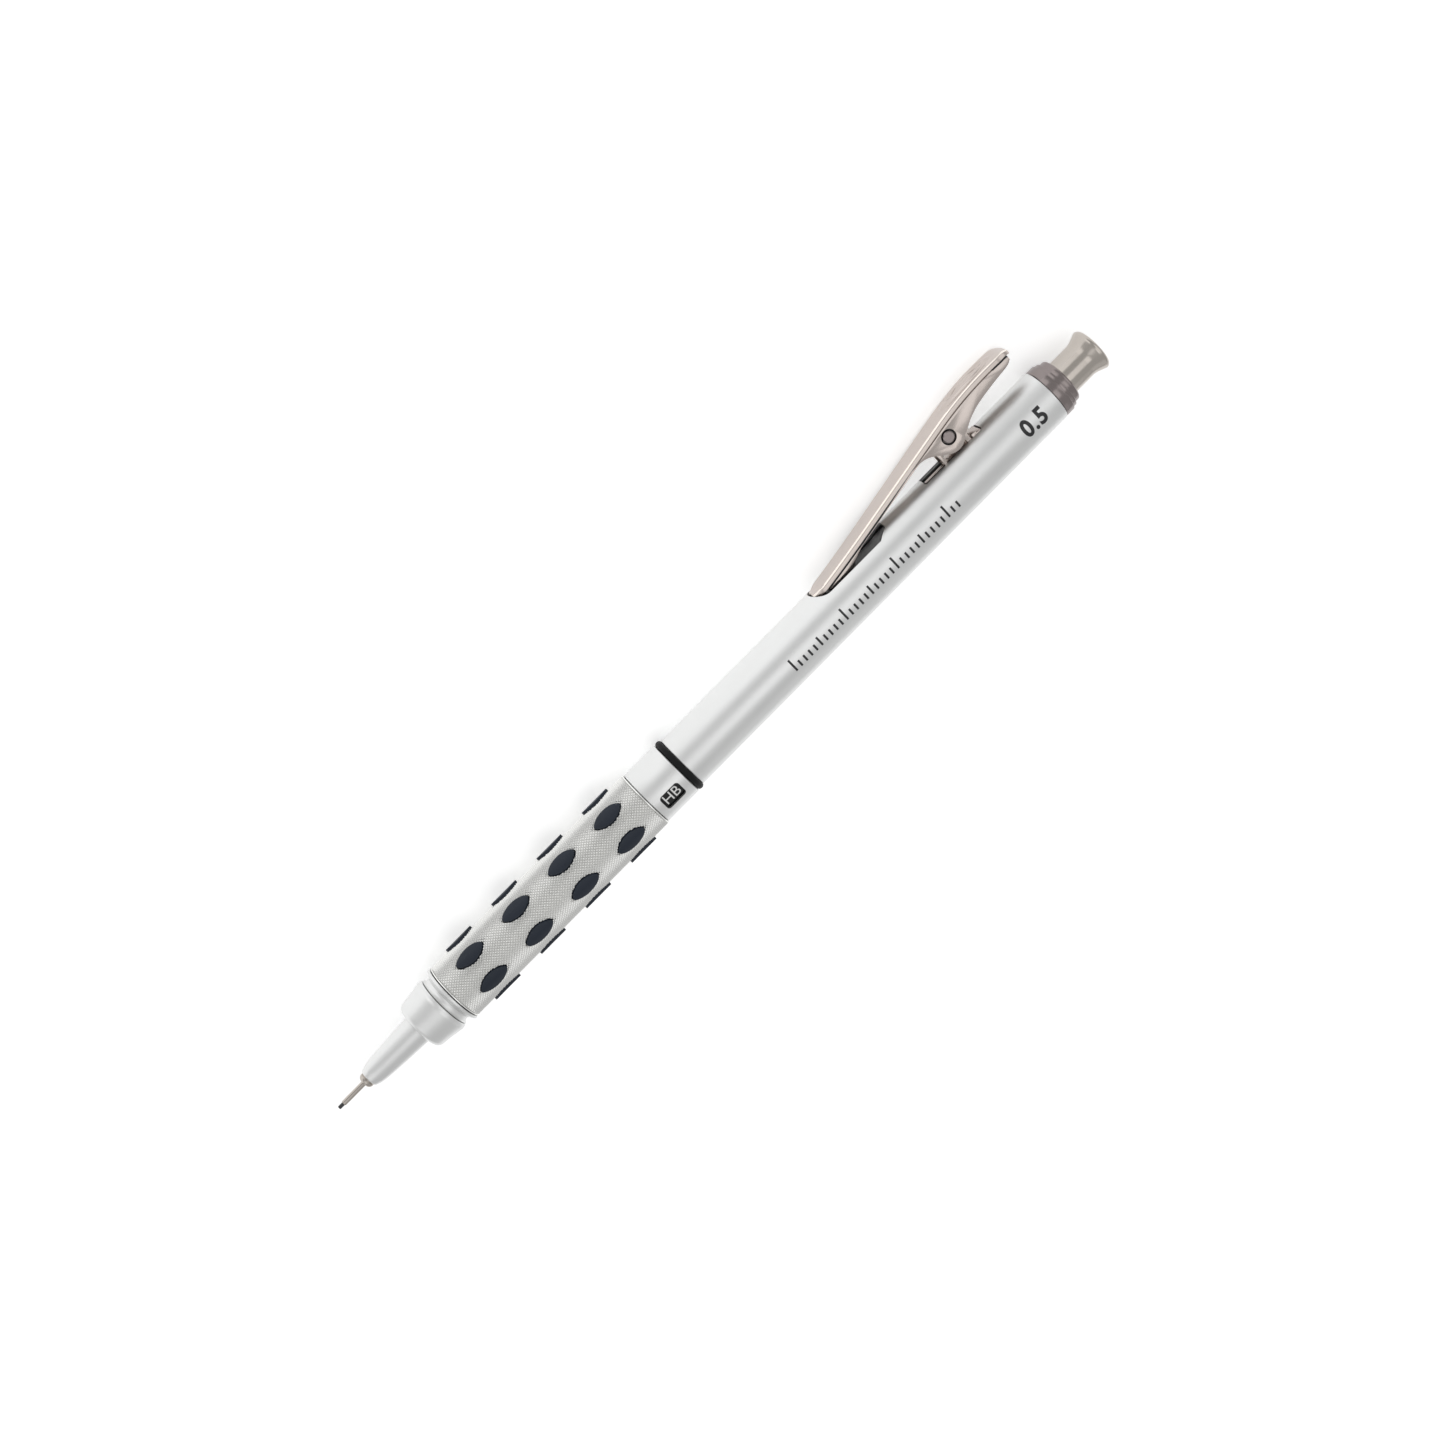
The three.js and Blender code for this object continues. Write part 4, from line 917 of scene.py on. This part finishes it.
def push_button():
    """The push button with its flared head."""
    front, rear, head = extent("push_button")
    shaft, bore, floor = 2.75, 2.25, rear - 4
    start, widest = rear - 2.8, rear - 0.65
    outline = [(front, bore), *front_edge(front, shaft, 0.15)]
    for along in [i / 12 for i in range(13)]:
        swell = 0.35 * along ** 3 + 0.65 * smooth_step(0, 1, along)
        outline.append((start + (widest - start) * along, shaft + (head - shaft) * swell))
    outline += [*arc(widest, head - 0.62, 0.65, 0.62, 84, 8, 9), (rear, head - 0.72)]
    outline += [(rear, 0.01), (floor, 0.01), (floor, bore)]
    lathe("push_button", outline, "button", "bright_chrome", 128)


def eraser():
    """The eraser under the button."""
    front, rear, radius = extent("eraser")
    outline = [(front, radius), *rear_edge(rear, radius, 0.35, 5)]
    lathe("eraser", outline, "feed", "white_eraser", 64, closed=False)


def eraser_holder():
    """The holder that joins the eraser to the lead tube, with two grooves for the button's grip."""
    front, rear, radius = extent("eraser_holder")
    cup = span("eraser")[0] - 0.05
    tube_end = span("lead_tube")[1] + 0.05
    grip_bore = radius_of("lead_tube") + 0.05
    cup_bore = radius_of("eraser") + 0.05
    groove, vent = radius - 0.1, 1.2
    outline = [(front, grip_bore), *front_edge(front, radius, 0.2, 4)]
    for band in (rear - 2.6, rear - 1.6):
        outline += [(band, radius), (band + 0.1, groove), (band + 0.3, groove), (band + 0.4, radius)]
    outline += [(rear - 0.05, radius), (rear, radius - 0.05), (rear, cup_bore), (cup, cup_bore), (cup, vent)]
    outline += [(tube_end, vent), (tube_end, grip_bore)]
    lathe("eraser_holder", outline, "feed", "spring_steel", 96)


def carrier_tube():
    """The black carrier, with the flat and the ramp that the clip's catch rests on."""
    front, rear, radius = extent("carrier_tube")
    bore, slim = 2.15, 2.7
    shoulder = span("retract_spring")[1] + 0.3
    outline = [(front, bore), (front, slim), (shoulder, slim), (shoulder, radius - 0.1)]
    outline += [(shoulder + 0.1, radius), (rear - 0.2, radius), (rear, radius - 0.2), (rear, bore)]
    piece = turned("fine_carrier_tube", outline)
    window_rear = WINDOW_FRONT + WINDOW_LENGTH
    flat, ramp = WINDOW_FRONT + 2, window_rear - 2.8
    floor, top = radius - 0.7, radius + 1
    profile = [(floor, flat), (floor, ramp), (radius + 0.01, window_rear), (top, window_rear), (top, flat)]
    notch = cut_out("notch", profile, 2 * top)
    turn_piece(notch, sideways(-top))
    fix_normals(notch)
    carve(piece, notch)
    hand_over(piece, "carrier", "black_plastic", "carrier_tube")


# ---- clip ----

FACE_HEIGHT, FACE_SLOPE = 2.5, 0.189
FRONT_BEND, REAR_BEND, BEND_START = 0.0018, 0.0095, -16.7
CLIP_FRONT_HALF, CLIP_REAR_HALF = 2.05, 2.5
SHEET, LIP, SEAM, PLATE = 0.35, 0.78, 0.28, 0.5
CATCH_DEPTH = 3.85
FOLD = 0.32
THUMB_START, THUMB_LENGTH, THUMB_WIDTH, THUMB_RISE = 1.6, 10.6, 3.4, 0.30
FRAME_FRONT, FRAME_REAR = -CLIP_REACH + 2.6, 13.3
EYE_RADIUS, PIN_HOLE = 2.4, 1.15


def end_fall(z, front_length, rear_length):
    """How far the clip's two rounded ends have fallen away, as quarter circles from 0 to 1."""
    front = max(0.0, 1 - (z + CLIP_REACH) / front_length)
    rear = max(0.0, 1 - (CLIP_TAIL - z) / rear_length)
    return [1 - math.sqrt(max(0.0, 1 - share * share)) for share in (front, rear)]


def face_height(z):
    """Height of the clip's outer face over the pin, at a distance behind the pin."""
    height = FACE_HEIGHT + FACE_SLOPE * z - REAR_BEND * max(0.0, z) ** 2
    height += FRONT_BEND * min(0.0, z - BEND_START) ** 2
    front, rear = end_fall(z, 1.6, 1.5)
    return height - 0.1 * front - 0.95 * rear


def half_width(z):
    """Half the clip's width, straight along its sides and drawn in at both ends."""
    z = min(max(z, -CLIP_REACH), CLIP_TAIL)
    half = CLIP_FRONT_HALF + (CLIP_REAR_HALF - CLIP_FRONT_HALF) * (z + CLIP_REACH) / (CLIP_REACH + CLIP_TAIL)
    front, rear = end_fall(z, 2.2, 2.3)
    return half * (1 - 0.75 * front) * (1 - 0.7 * rear)


def smooth_step(low, high, value):
    t = min(1.0, max(0.0, (value - low) / (high - low)))
    return t * t * (3 - 2 * t)


def thumb_relief(y, z):
    """Height of the raised ovals under the thumb: a rim, a groove and a raised middle."""
    centre = THUMB_START + THUMB_LENGTH / 2
    reach = math.hypot((z - centre) / (THUMB_LENGTH / 2), y / (THUMB_WIDTH / 2))
    rim = smooth_step(1.0, 0.78, reach) - 0.85 * smooth_step(0.76, 0.54, reach)
    middle = 0.9 * smooth_step(0.48, 0.2, reach)
    return THUMB_RISE * max(rim, middle)


def clip_sheet(name, depth, inset, front, rear, columns, rows, relief=False):
    """A sheet that follows the clip's face at a depth under it, from a grid spaced closer at its ends."""
    deselect()
    bpy.ops.mesh.primitive_grid_add(x_subdivisions=columns, y_subdivisions=rows, size=2)
    piece = just_added(name)
    for vertex in piece.data.vertices:
        across, along = vertex.co.x, vertex.co.y
        eased = math.sin(along * math.pi / 2) * 0.6 + along * 0.4
        z = (front + rear) / 2 + (rear - front) / 2 * eased
        y = across * (half_width(z) - inset)
        height = face_height(z) - depth - 0.06 * across * across
        if relief:
            height += thumb_relief(y, z)
        vertex.co = (height, y, z)
    return piece


def at_pivot(piece):
    turn_piece(piece, Matrix.Translation((PIVOT.x, PIVOT.y, PIVOT.z)))


def outward_of(vertex):
    """Direction in the sheet's plan in which its open edge faces at a vertex."""
    total = Vector((0, 0, 0))
    for edge in vertex.link_edges:
        if edge.is_boundary:
            line = (edge.verts[1].co - edge.verts[0].co).normalized()
            away = (edge.verts[0].co + edge.verts[1].co) / 2 - edge.link_faces[0].calc_center_median()
            away -= line * away.dot(line)
            total += away.normalized()
    total.x = 0
    return total.normalized()


def roll_edge(piece, reach, drop):
    """In edit mode: extrudes the sheet's open edge outwards and towards the barrel."""
    net = bmesh.from_edit_mesh(piece.data)
    outward = {v.co.copy().freeze(): outward_of(v) for v in net.verts if v.is_boundary}
    select_edges(piece, lambda e: e.is_boundary)
    pull_edges(piece, lambda co: co + outward[co.freeze()] * reach - Vector((drop, 0, 0)))


def clip_cover():
    """The outer sheet: its thumb ovals are pressed up, and its rim is rolled over and folded down."""
    piece = clip_sheet("fine_clip_cover", 0, FOLD, -CLIP_REACH + FOLD, CLIP_TAIL - FOLD, 64, 260, True)
    edit(piece)
    turns = [math.pi / 2 * i / 4 for i in range(5)]
    for start, end in zip(turns, turns[1:]):
        roll_edge(piece, FOLD * (math.sin(end) - math.sin(start)), FOLD * (math.cos(start) - math.cos(end)))
    roll_edge(piece, 0.0, LIP - FOLD)
    face_outwards()
    if face_points_in(piece):
        bpy.ops.mesh.flip_normals()
    bpy.ops.object.mode_set(mode="OBJECT")
    apply_modifier(piece, "SOLIDIFY", thickness=SHEET * 0.8, offset=-1, use_even_offset=True)
    fix_normals(piece)
    folds = [face.index for face in piece.data.polygons if is_fold(face)]
    at_pivot(piece)
    hand_over(piece, "clip", "clip_nickel", "clip_cover", 40)
    # The rolled edge between face and rim gets a lighter nickel of its own: a painted highlight of the light
    # it catches.
    piece.data.materials.append(finish("burnished_edge"))
    for index in folds:
        piece.data.polygons[index].material_index = 1


def is_fold(face):
    """True on the rounded edge between the cover's face and its folded rim."""
    return abs(face.center.y) > half_width(face.center.z) - FOLD and 0.3 < face.normal.x < 0.97


def face_points_in(piece):
    """True when the sheet's middle face points towards the barrel."""
    net = bmesh.from_edit_mesh(piece.data)
    face = max(net.faces, key=lambda f: f.calc_center_median().x)
    return face.normal.x < 0


def spline(points, steps=6):
    """A smooth line through points, by Catmull-Rom pieces."""
    line = []
    padded = [points[0], *points, points[-1]]
    for a, b, c, d in zip(padded, padded[1:], padded[2:], padded[3:]):
        for t in [i / steps for i in range(steps)]:
            line.append(tuple(cubic(*four, t) for four in zip(a, b, c, d)))
    line.append(points[-1])
    return line


def cubic(p, q, r, s, t):
    """The point at t between q and r on the smooth line through p, q, r and s."""
    square, cube = 2 * p - 5 * q + 4 * r - s, 3 * q - p - 3 * r + s
    return 0.5 * (2 * q + (r - p) * t + square * t * t + cube * t ** 3)


def side_outline():
    """One side plate, as (height over the pin, distance behind it): catch, hollow, eye and tail."""
    front, rear = -CLIP_REACH + 2.45, 13.55
    lower = [(-3.6, front), (-CATCH_DEPTH, front + 0.25), (-CATCH_DEPTH, front + 4.1)]
    lower += spline([
        (-CATCH_DEPTH + 0.07, front + 4.35), (-2.95, -20.75), (-2.2, -18.6), (-1.75, -16.4), (-0.75, -12.0),
        (0.0, -8.6), (0.28, -6.4), (0.1, -4.6), (-0.5, -3.3), (-1.1, -2.55)])
    for angle in [math.radians(228 + 94 * i / 16) for i in range(17)]:
        lower.append((EYE_RADIUS * math.sin(angle), EYE_RADIUS * math.cos(angle)))
    tail = [(-1.05, 2.75), (-0.3, 4.1), (0.35, 6.0), (0.85, 8.8), (1.15, 11.2), (1.35, 12.8), (1.6, rear)]
    upper = [rear - (rear - front) * i / 60 for i in range(61)]
    return lower + spline(tail)[1:] + [(face_height(z) - LIP - SEAM, z) for z in upper]


def side_plate(name, side):
    """A plate cut from sheet, drilled for the pin and leaned to follow the clip's edge."""
    plate = cut_out(name, side_outline(), PLATE)
    deselect()
    bpy.ops.mesh.primitive_cylinder_add(vertices=64, radius=PIN_HOLE, depth=4)
    carve(plate, bpy.context.object)
    soften(plate, 0.06, 2, 60)
    for vertex in plate.data.vertices:
        height, behind, thick = vertex.co
        vertex.co = (height, side * (half_width(behind) - 0.05 - PLATE + thick), behind)
    fix_normals(plate)
    return plate


def seam_strip(name, side, front, rear, fade):
    """A dark strip in the joint on one side, which narrows over its fade towards its rear end."""
    strip = clip_sheet(name, LIP - 0.02, 0, front, rear, 1, 60)
    for vertex in strip.data.vertices:
        height, y, z = vertex.co
        if y * side > 0:
            height -= (SEAM + 0.03) * (min(1.0, max(0.15, (rear - z) / fade)) if fade else 1.0)
        vertex.co = (height, side * (half_width(z) - 0.045), z)
    thicken(strip, 0.06)
    return strip


def clip_seam():
    """The dark open joint between the cover's folded edge and the side plates, fading out towards the pin."""
    strips = []
    for name, front, rear, fade in (("front", -CLIP_REACH + 2.5, -3.0, 12), ("rear", 10.6, 13.5, 0)):
        strips += [seam_strip(f"seam_{name}_{side}", side, front, rear, fade) for side in (1, -1)]
    piece = join(strips, "clip_seam")
    at_pivot(piece)
    # The black finish on these strips is painted shade of the deep gap.
    hand_over(piece, "clip", "black_plastic", angle=40)


def riser(side):
    """The wall of the inner channel on one side, down from its web."""
    wall = clip_sheet(f"riser_{side}", SHEET + 0.2, SHEET + 0.18, FRAME_FRONT, FRAME_REAR, 1, 90)
    for vertex in wall.data.vertices:
        height, y, z = vertex.co
        vertex.co = (height if y * side > 0 else height - 0.75, side * (half_width(z) - SHEET - 0.2), z)
    thicken(wall, 0.25)
    return wall


def clip_frame():
    """The inner channel: a web under the cover and two side plates with the pivot eyes and the catch."""
    web = clip_sheet("web", SHEET + 0.06, SHEET + 0.15, FRAME_FRONT, FRAME_REAR, 10, 90)
    thicken(web, 0.22)
    parts = [web, riser(1), riser(-1), side_plate("plate_near", 1), side_plate("plate_far", -1)]
    piece = join(parts, "fine_clip_frame")
    at_pivot(piece)
    hand_over(piece, "clip", "clip_nickel", "clip_frame", 40)


def pivot_pin():
    """The clip's pin."""
    half = half_width(0) + 0.05
    outline = [(-half, 0.72), (-half + 0.1, 0.86), (-half + 0.16, 0.87)]
    outline += [(-station, radius) for station, radius in reversed(outline)]
    piece = turned("fine_pivot_pin", outline, 48, closed=False)
    turn_piece(piece, Matrix.Rotation(math.radians(90), 4, "X"))
    at_pivot(piece)
    hand_over(piece, "barrel_body", "collar_chrome", "pivot_pin")


def pivot_washers():
    """Black washers between the bracket's ears and the clip's plates."""
    inner, outer = half_width(0) - 0.74, half_width(0) - 0.56
    washers = []
    for side in (1, -1):
        low, high = sorted((side * inner, side * outer))
        washer = turned(f"washer_{side}", [(low, 0.9), (low, 1.22), (high, 1.22), (high, 0.9)], 64)
        turn_piece(washer, Matrix.Rotation(math.radians(-90), 4, "X"))
        washers.append(washer)
    piece = join(washers, "pivot_washers")
    at_pivot(piece)
    # Their black finish is painted shade of the gap round the pin.
    hand_over(piece, "barrel_body", "black_plastic")


BRACKET_BASE = radius_of("carrier_tube") + 0.2 - PIVOT.x
BRACKET_REAR = 4.1
BRACKET_FRONT = BRACKET_REAR - 6.8
BRACKET_SHEET = 0.4


def box_piece(name, low, high, edge):
    """A sheet-metal block between two corners, with softened edges."""
    outline = rounded_box(high[0] - low[0], high[1] - low[1], edge, 3)
    block = cut_out(name, outline, high[2] - low[2])
    turn_piece(block, Matrix.Translation(((low[0] + high[0]) / 2, (low[1] + high[1]) / 2, low[2])))
    return block


def bracket_ear(name, inside):
    """One ear of the bracket: an arch on a front foot and a rear foot, rounded over the pin."""
    base, eye, arch = BRACKET_BASE, 1.4, -1.62
    outline = [(base, -2.85), (base, -2.45), (arch, -2.3), (arch, 1.5), (base, 1.7), (base, 2.3), (-1.0, 2.3)]
    for angle in [math.radians(10 + 8 * i) for i in range(21)]:
        outline.append((eye * math.sin(angle), eye * math.cos(angle)))
    ear = cut_out(name, outline + [(-0.55, -2.85)], BRACKET_SHEET)
    turn_piece(ear, sideways(inside))
    fix_normals(ear)
    return ear


def clip_bracket():
    """The folded bracket in the barrel's slot: base, rail, two ears for the pin and a stepped rear claw."""
    half = half_width(0) - 0.75
    # Each block: its name, its sides, its front and rear, its height and the rounding of its corners.
    blocks = [
        ("plate", -half, half, BRACKET_FRONT, BRACKET_REAR, BRACKET_SHEET, 0.1),
        ("rail", 0.0, 0.95, BRACKET_FRONT - 3.75, BRACKET_FRONT + 0.5, 0.42, 0.1),
        ("low_claw", -half, half, BRACKET_REAR - 1.5, BRACKET_REAR - 0.7, 0.9, 0.12),
        ("high_claw", -half, half, BRACKET_REAR - 0.75, BRACKET_REAR, 0.6, 0.12),
    ]
    parts = [
        box_piece(name, (BRACKET_BASE, low, front), (BRACKET_BASE + height, high, rear), corner)
        for name, low, high, front, rear, height, corner in blocks]
    parts += [bracket_ear("near_ear", half - BRACKET_SHEET), bracket_ear("far_ear", -half)]
    for part in parts:
        soften(part, 0.05, 2, 50)
    piece = join(parts, "fine_clip_bracket")
    at_pivot(piece)
    hand_over(piece, "barrel_body", "clip_nickel", "clip_bracket", 40)


def slot_liner():
    """The black shoe beside the bracket's rail, level with the barrel, that keeps dirt out of the slot."""
    rear = BRACKET_FRONT - 0.1
    low = (BRACKET_BASE, -SLOT_HALF + 0.08, rear - 3.7)
    piece = box_piece("slot_liner", low, (BARREL_RADIUS - 0.12 - PIVOT.x, -0.06, rear), 0.12)
    soften(piece, 0.06, 2, 50)
    for vertex in piece.data.vertices:
        height = vertex.co.x + PIVOT.x
        if height > BARREL_RADIUS - BARREL_WALL:
            vertex.co.x = math.sqrt(height * height - vertex.co.y * vertex.co.y) - PIVOT.x
    at_pivot(piece)
    # Its black finish is painted shade of the slot's inside.
    hand_over(piece, "barrel_body", "black_plastic")


def retract_spring():
    """A round wire wound by a screw, with its ends filled."""
    front, rear, radius = extent("retract_spring")
    wire, turns = 0.25, 7
    deselect()
    bpy.ops.mesh.primitive_circle_add(
        vertices=12, radius=wire, location=(radius - wire, 0, front + wire), rotation=(math.pi / 2, 0, 0))
    piece = just_added("fine_retract_spring")
    bpy.ops.object.transform_apply(location=True, rotation=True, scale=True)
    pitch = (rear - front - 2 * wire) / turns
    apply_modifier(
        piece, "SCREW", axis="Z", screw_offset=pitch, iterations=turns, steps=32, use_merge_vertices=False)
    close_up(piece)
    hand_over(piece, "barrel_body", "spring_steel", "retract_spring", 60)


# ---- inner pieces kept from the frame ----

INNER_FINISHES = {
    "lead_retainer": "black_rubber", "chuck": "turned_brass", "clutch_ring": "turned_brass",
    "chuck_sleeve": "turned_brass", "barrel_bush": "turned_brass", "chuck_spring": "spring_steel",
    "clip_spring": "spring_steel", "chuck_connector": "black_plastic", "lead_tube": "black_plastic",
}


def inner_finishes():
    """The finishes of the inner pieces."""
    for node, look in INNER_FINISHES.items():
        piece = frame["nodes"][node]
        piece.data.materials.clear()
        piece.data.materials.append(finish(look))


# ---- stage ----

CAMERA_STATION, CAMERA_OFFSET, CAMERA_DISTANCE = 76.1, 0.38, 336.0
CAMERA_ROUND, CAMERA_ROLL, CAMERA_LENS = 69.0, 45.25, 60.0
WORLD_STRENGTH = 0.56
FLOOR_GLOW = 0.42
# Each soft box: name, angle round the pencil from the far horizon, shift along it, distance, size and power.
LIGHTS = [
    ("overhead", 98, 0.0, 0.75, 0.45, 0.45),
    ("near_low", 168, 0.0, 0.70, 0.45, 0.45),
    ("far_low", 24, 0.0, 0.70, 0.40, 0.08),
    ("tip_end", 110, 0.60, 0.60, 0.60, 0.5),
    ("button_end", 100, -0.60, 0.60, 0.60, 0.7),
]


def camera_axes():
    """Right, up and backward directions of the camera, in the frame."""
    turn = math.radians(CAMERA_ROUND)
    towards = OUT * math.cos(turn) + ACROSS * math.sin(turn)
    level_up = towards.cross(BACK)
    roll = math.radians(CAMERA_ROLL)
    right = BACK * math.cos(roll) - level_up * math.sin(roll)
    up = BACK * math.sin(roll) + level_up * math.cos(roll)
    return right, up, towards, level_up


def add_camera():
    right, up, towards, level_up = camera_axes()
    deselect()
    bpy.ops.object.camera_add()
    camera = bpy.context.object
    camera.name = "camera"
    camera.data.lens = CAMERA_LENS
    camera.data.sensor_width = 36.0
    camera.data.clip_start = 0.01
    target = POINT + BACK * (CAMERA_STATION * MM) + level_up * (CAMERA_OFFSET * MM)
    place = target + towards * (CAMERA_DISTANCE * MM)
    camera.matrix_world = Matrix((
        (right.x, up.x, towards.x, place.x), (right.y, up.y, towards.y, place.y),
        (right.z, up.z, towards.z, place.z), (0, 0, 0, 1)))
    bpy.context.scene.camera = camera


def add_light(name, place, size, power):
    """A square soft light that faces the middle of the pencil."""
    deselect()
    bpy.ops.object.light_add(type="AREA", location=place)
    light = bpy.context.object
    light.name = name
    light.data.size = size
    light.data.energy = power
    light.rotation_euler = Vector(place).to_track_quat("Z", "Y").to_euler()


FLOOR_SIZE, FLOOR_DROP = 4.0, 0.00002


def add_floor():
    deselect()
    bpy.ops.mesh.primitive_plane_add(size=FLOOR_SIZE, location=(0, 0, -FLOOR_DROP))
    floor = bpy.context.object
    floor.name = "floor"
    floor.data.materials.append(finish("pale_floor"))


def add_stage():
    """The camera, lights and floor."""
    add_camera()
    add_floor()
    world = bpy.context.scene.world or bpy.data.worlds.new("studio")
    bpy.context.scene.world = world
    world.use_nodes = True
    world.node_tree.nodes["Background"].inputs["Color"].default_value = (1, 1, 1, 1)
    world.node_tree.nodes["Background"].inputs["Strength"].default_value = WORLD_STRENGTH
    bpy.context.scene.view_settings.view_transform = "Standard"
    for name, round_axis, along, distance, size, power in LIGHTS:
        angle = math.radians(round_axis)
        add_light(name, (along, distance * math.cos(angle), distance * math.sin(angle)), size, power)


# ---- operators, panel and registration ----

def operator(work):
    """One operator class that runs one piece's maker and carries its name and docstring."""

    def execute(self, context):
        work()
        return {"FINISHED"}

    name = work.__name__
    return type("PENCIL_OT_" + name, (bpy.types.Operator,), {
        "bl_idname": "pencil." + name, "bl_label": name.replace("_", " ").title(),
        "bl_options": {"REGISTER", "UNDO"}, "__doc__": work.__doc__.rstrip("."), "execute": execute})


OPERATORS = [operator(work) for work in (
    add_stage, inner_finishes, lead, guide_pipe, pipe_ferrule, tip_cone, nose_cap, grip_core, pad_sleeve,
    grip_sleeve, grade_dial, grade_ring, o_ring, barrel, barrel_marks, rear_collar, push_button, eraser,
    eraser_holder, carrier_tube, retract_spring, clip_cover, clip_frame, clip_seam, pivot_pin, pivot_washers,
    clip_bracket, slot_liner,
)]


class VIEW3D_PT_pencil(bpy.types.Panel):
    """Lists the pencil's settings and the operators that make its pieces"""

    bl_label = "Drafting Pencil"
    bl_idname = "VIEW3D_PT_pencil"
    bl_space_type = "VIEW_3D"
    bl_region_type = "UI"
    bl_category = "Pencil"

    def draw(self, context):
        column = self.layout.column(align=True)
        for group in (context.scene.pencil_sizes, context.scene.pencil_colours):
            for name in group.bl_rna.properties.keys():
                if name not in {"rna_type", "name"}:
                    column.prop(group, name)
        for maker in OPERATORS:
            column.operator(maker.bl_idname)


CLASSES = [PencilColours, PencilSizes, *OPERATORS, VIEW3D_PT_pencil]


def register():
    for item in CLASSES:
        bpy.utils.register_class(item)
    bpy.types.Scene.pencil_colours = bpy.props.PointerProperty(type=PencilColours)
    bpy.types.Scene.pencil_sizes = bpy.props.PointerProperty(type=PencilSizes)


def unregister():
    del bpy.types.Scene.pencil_sizes
    del bpy.types.Scene.pencil_colours
    for item in reversed(CLASSES):
        bpy.utils.unregister_class(item)


def main():
    register()
    for maker in OPERATORS:
        group, name = maker.bl_idname.split(".")
        getattr(getattr(bpy.ops, group), name)()


if __name__ == "__main__":
    main()
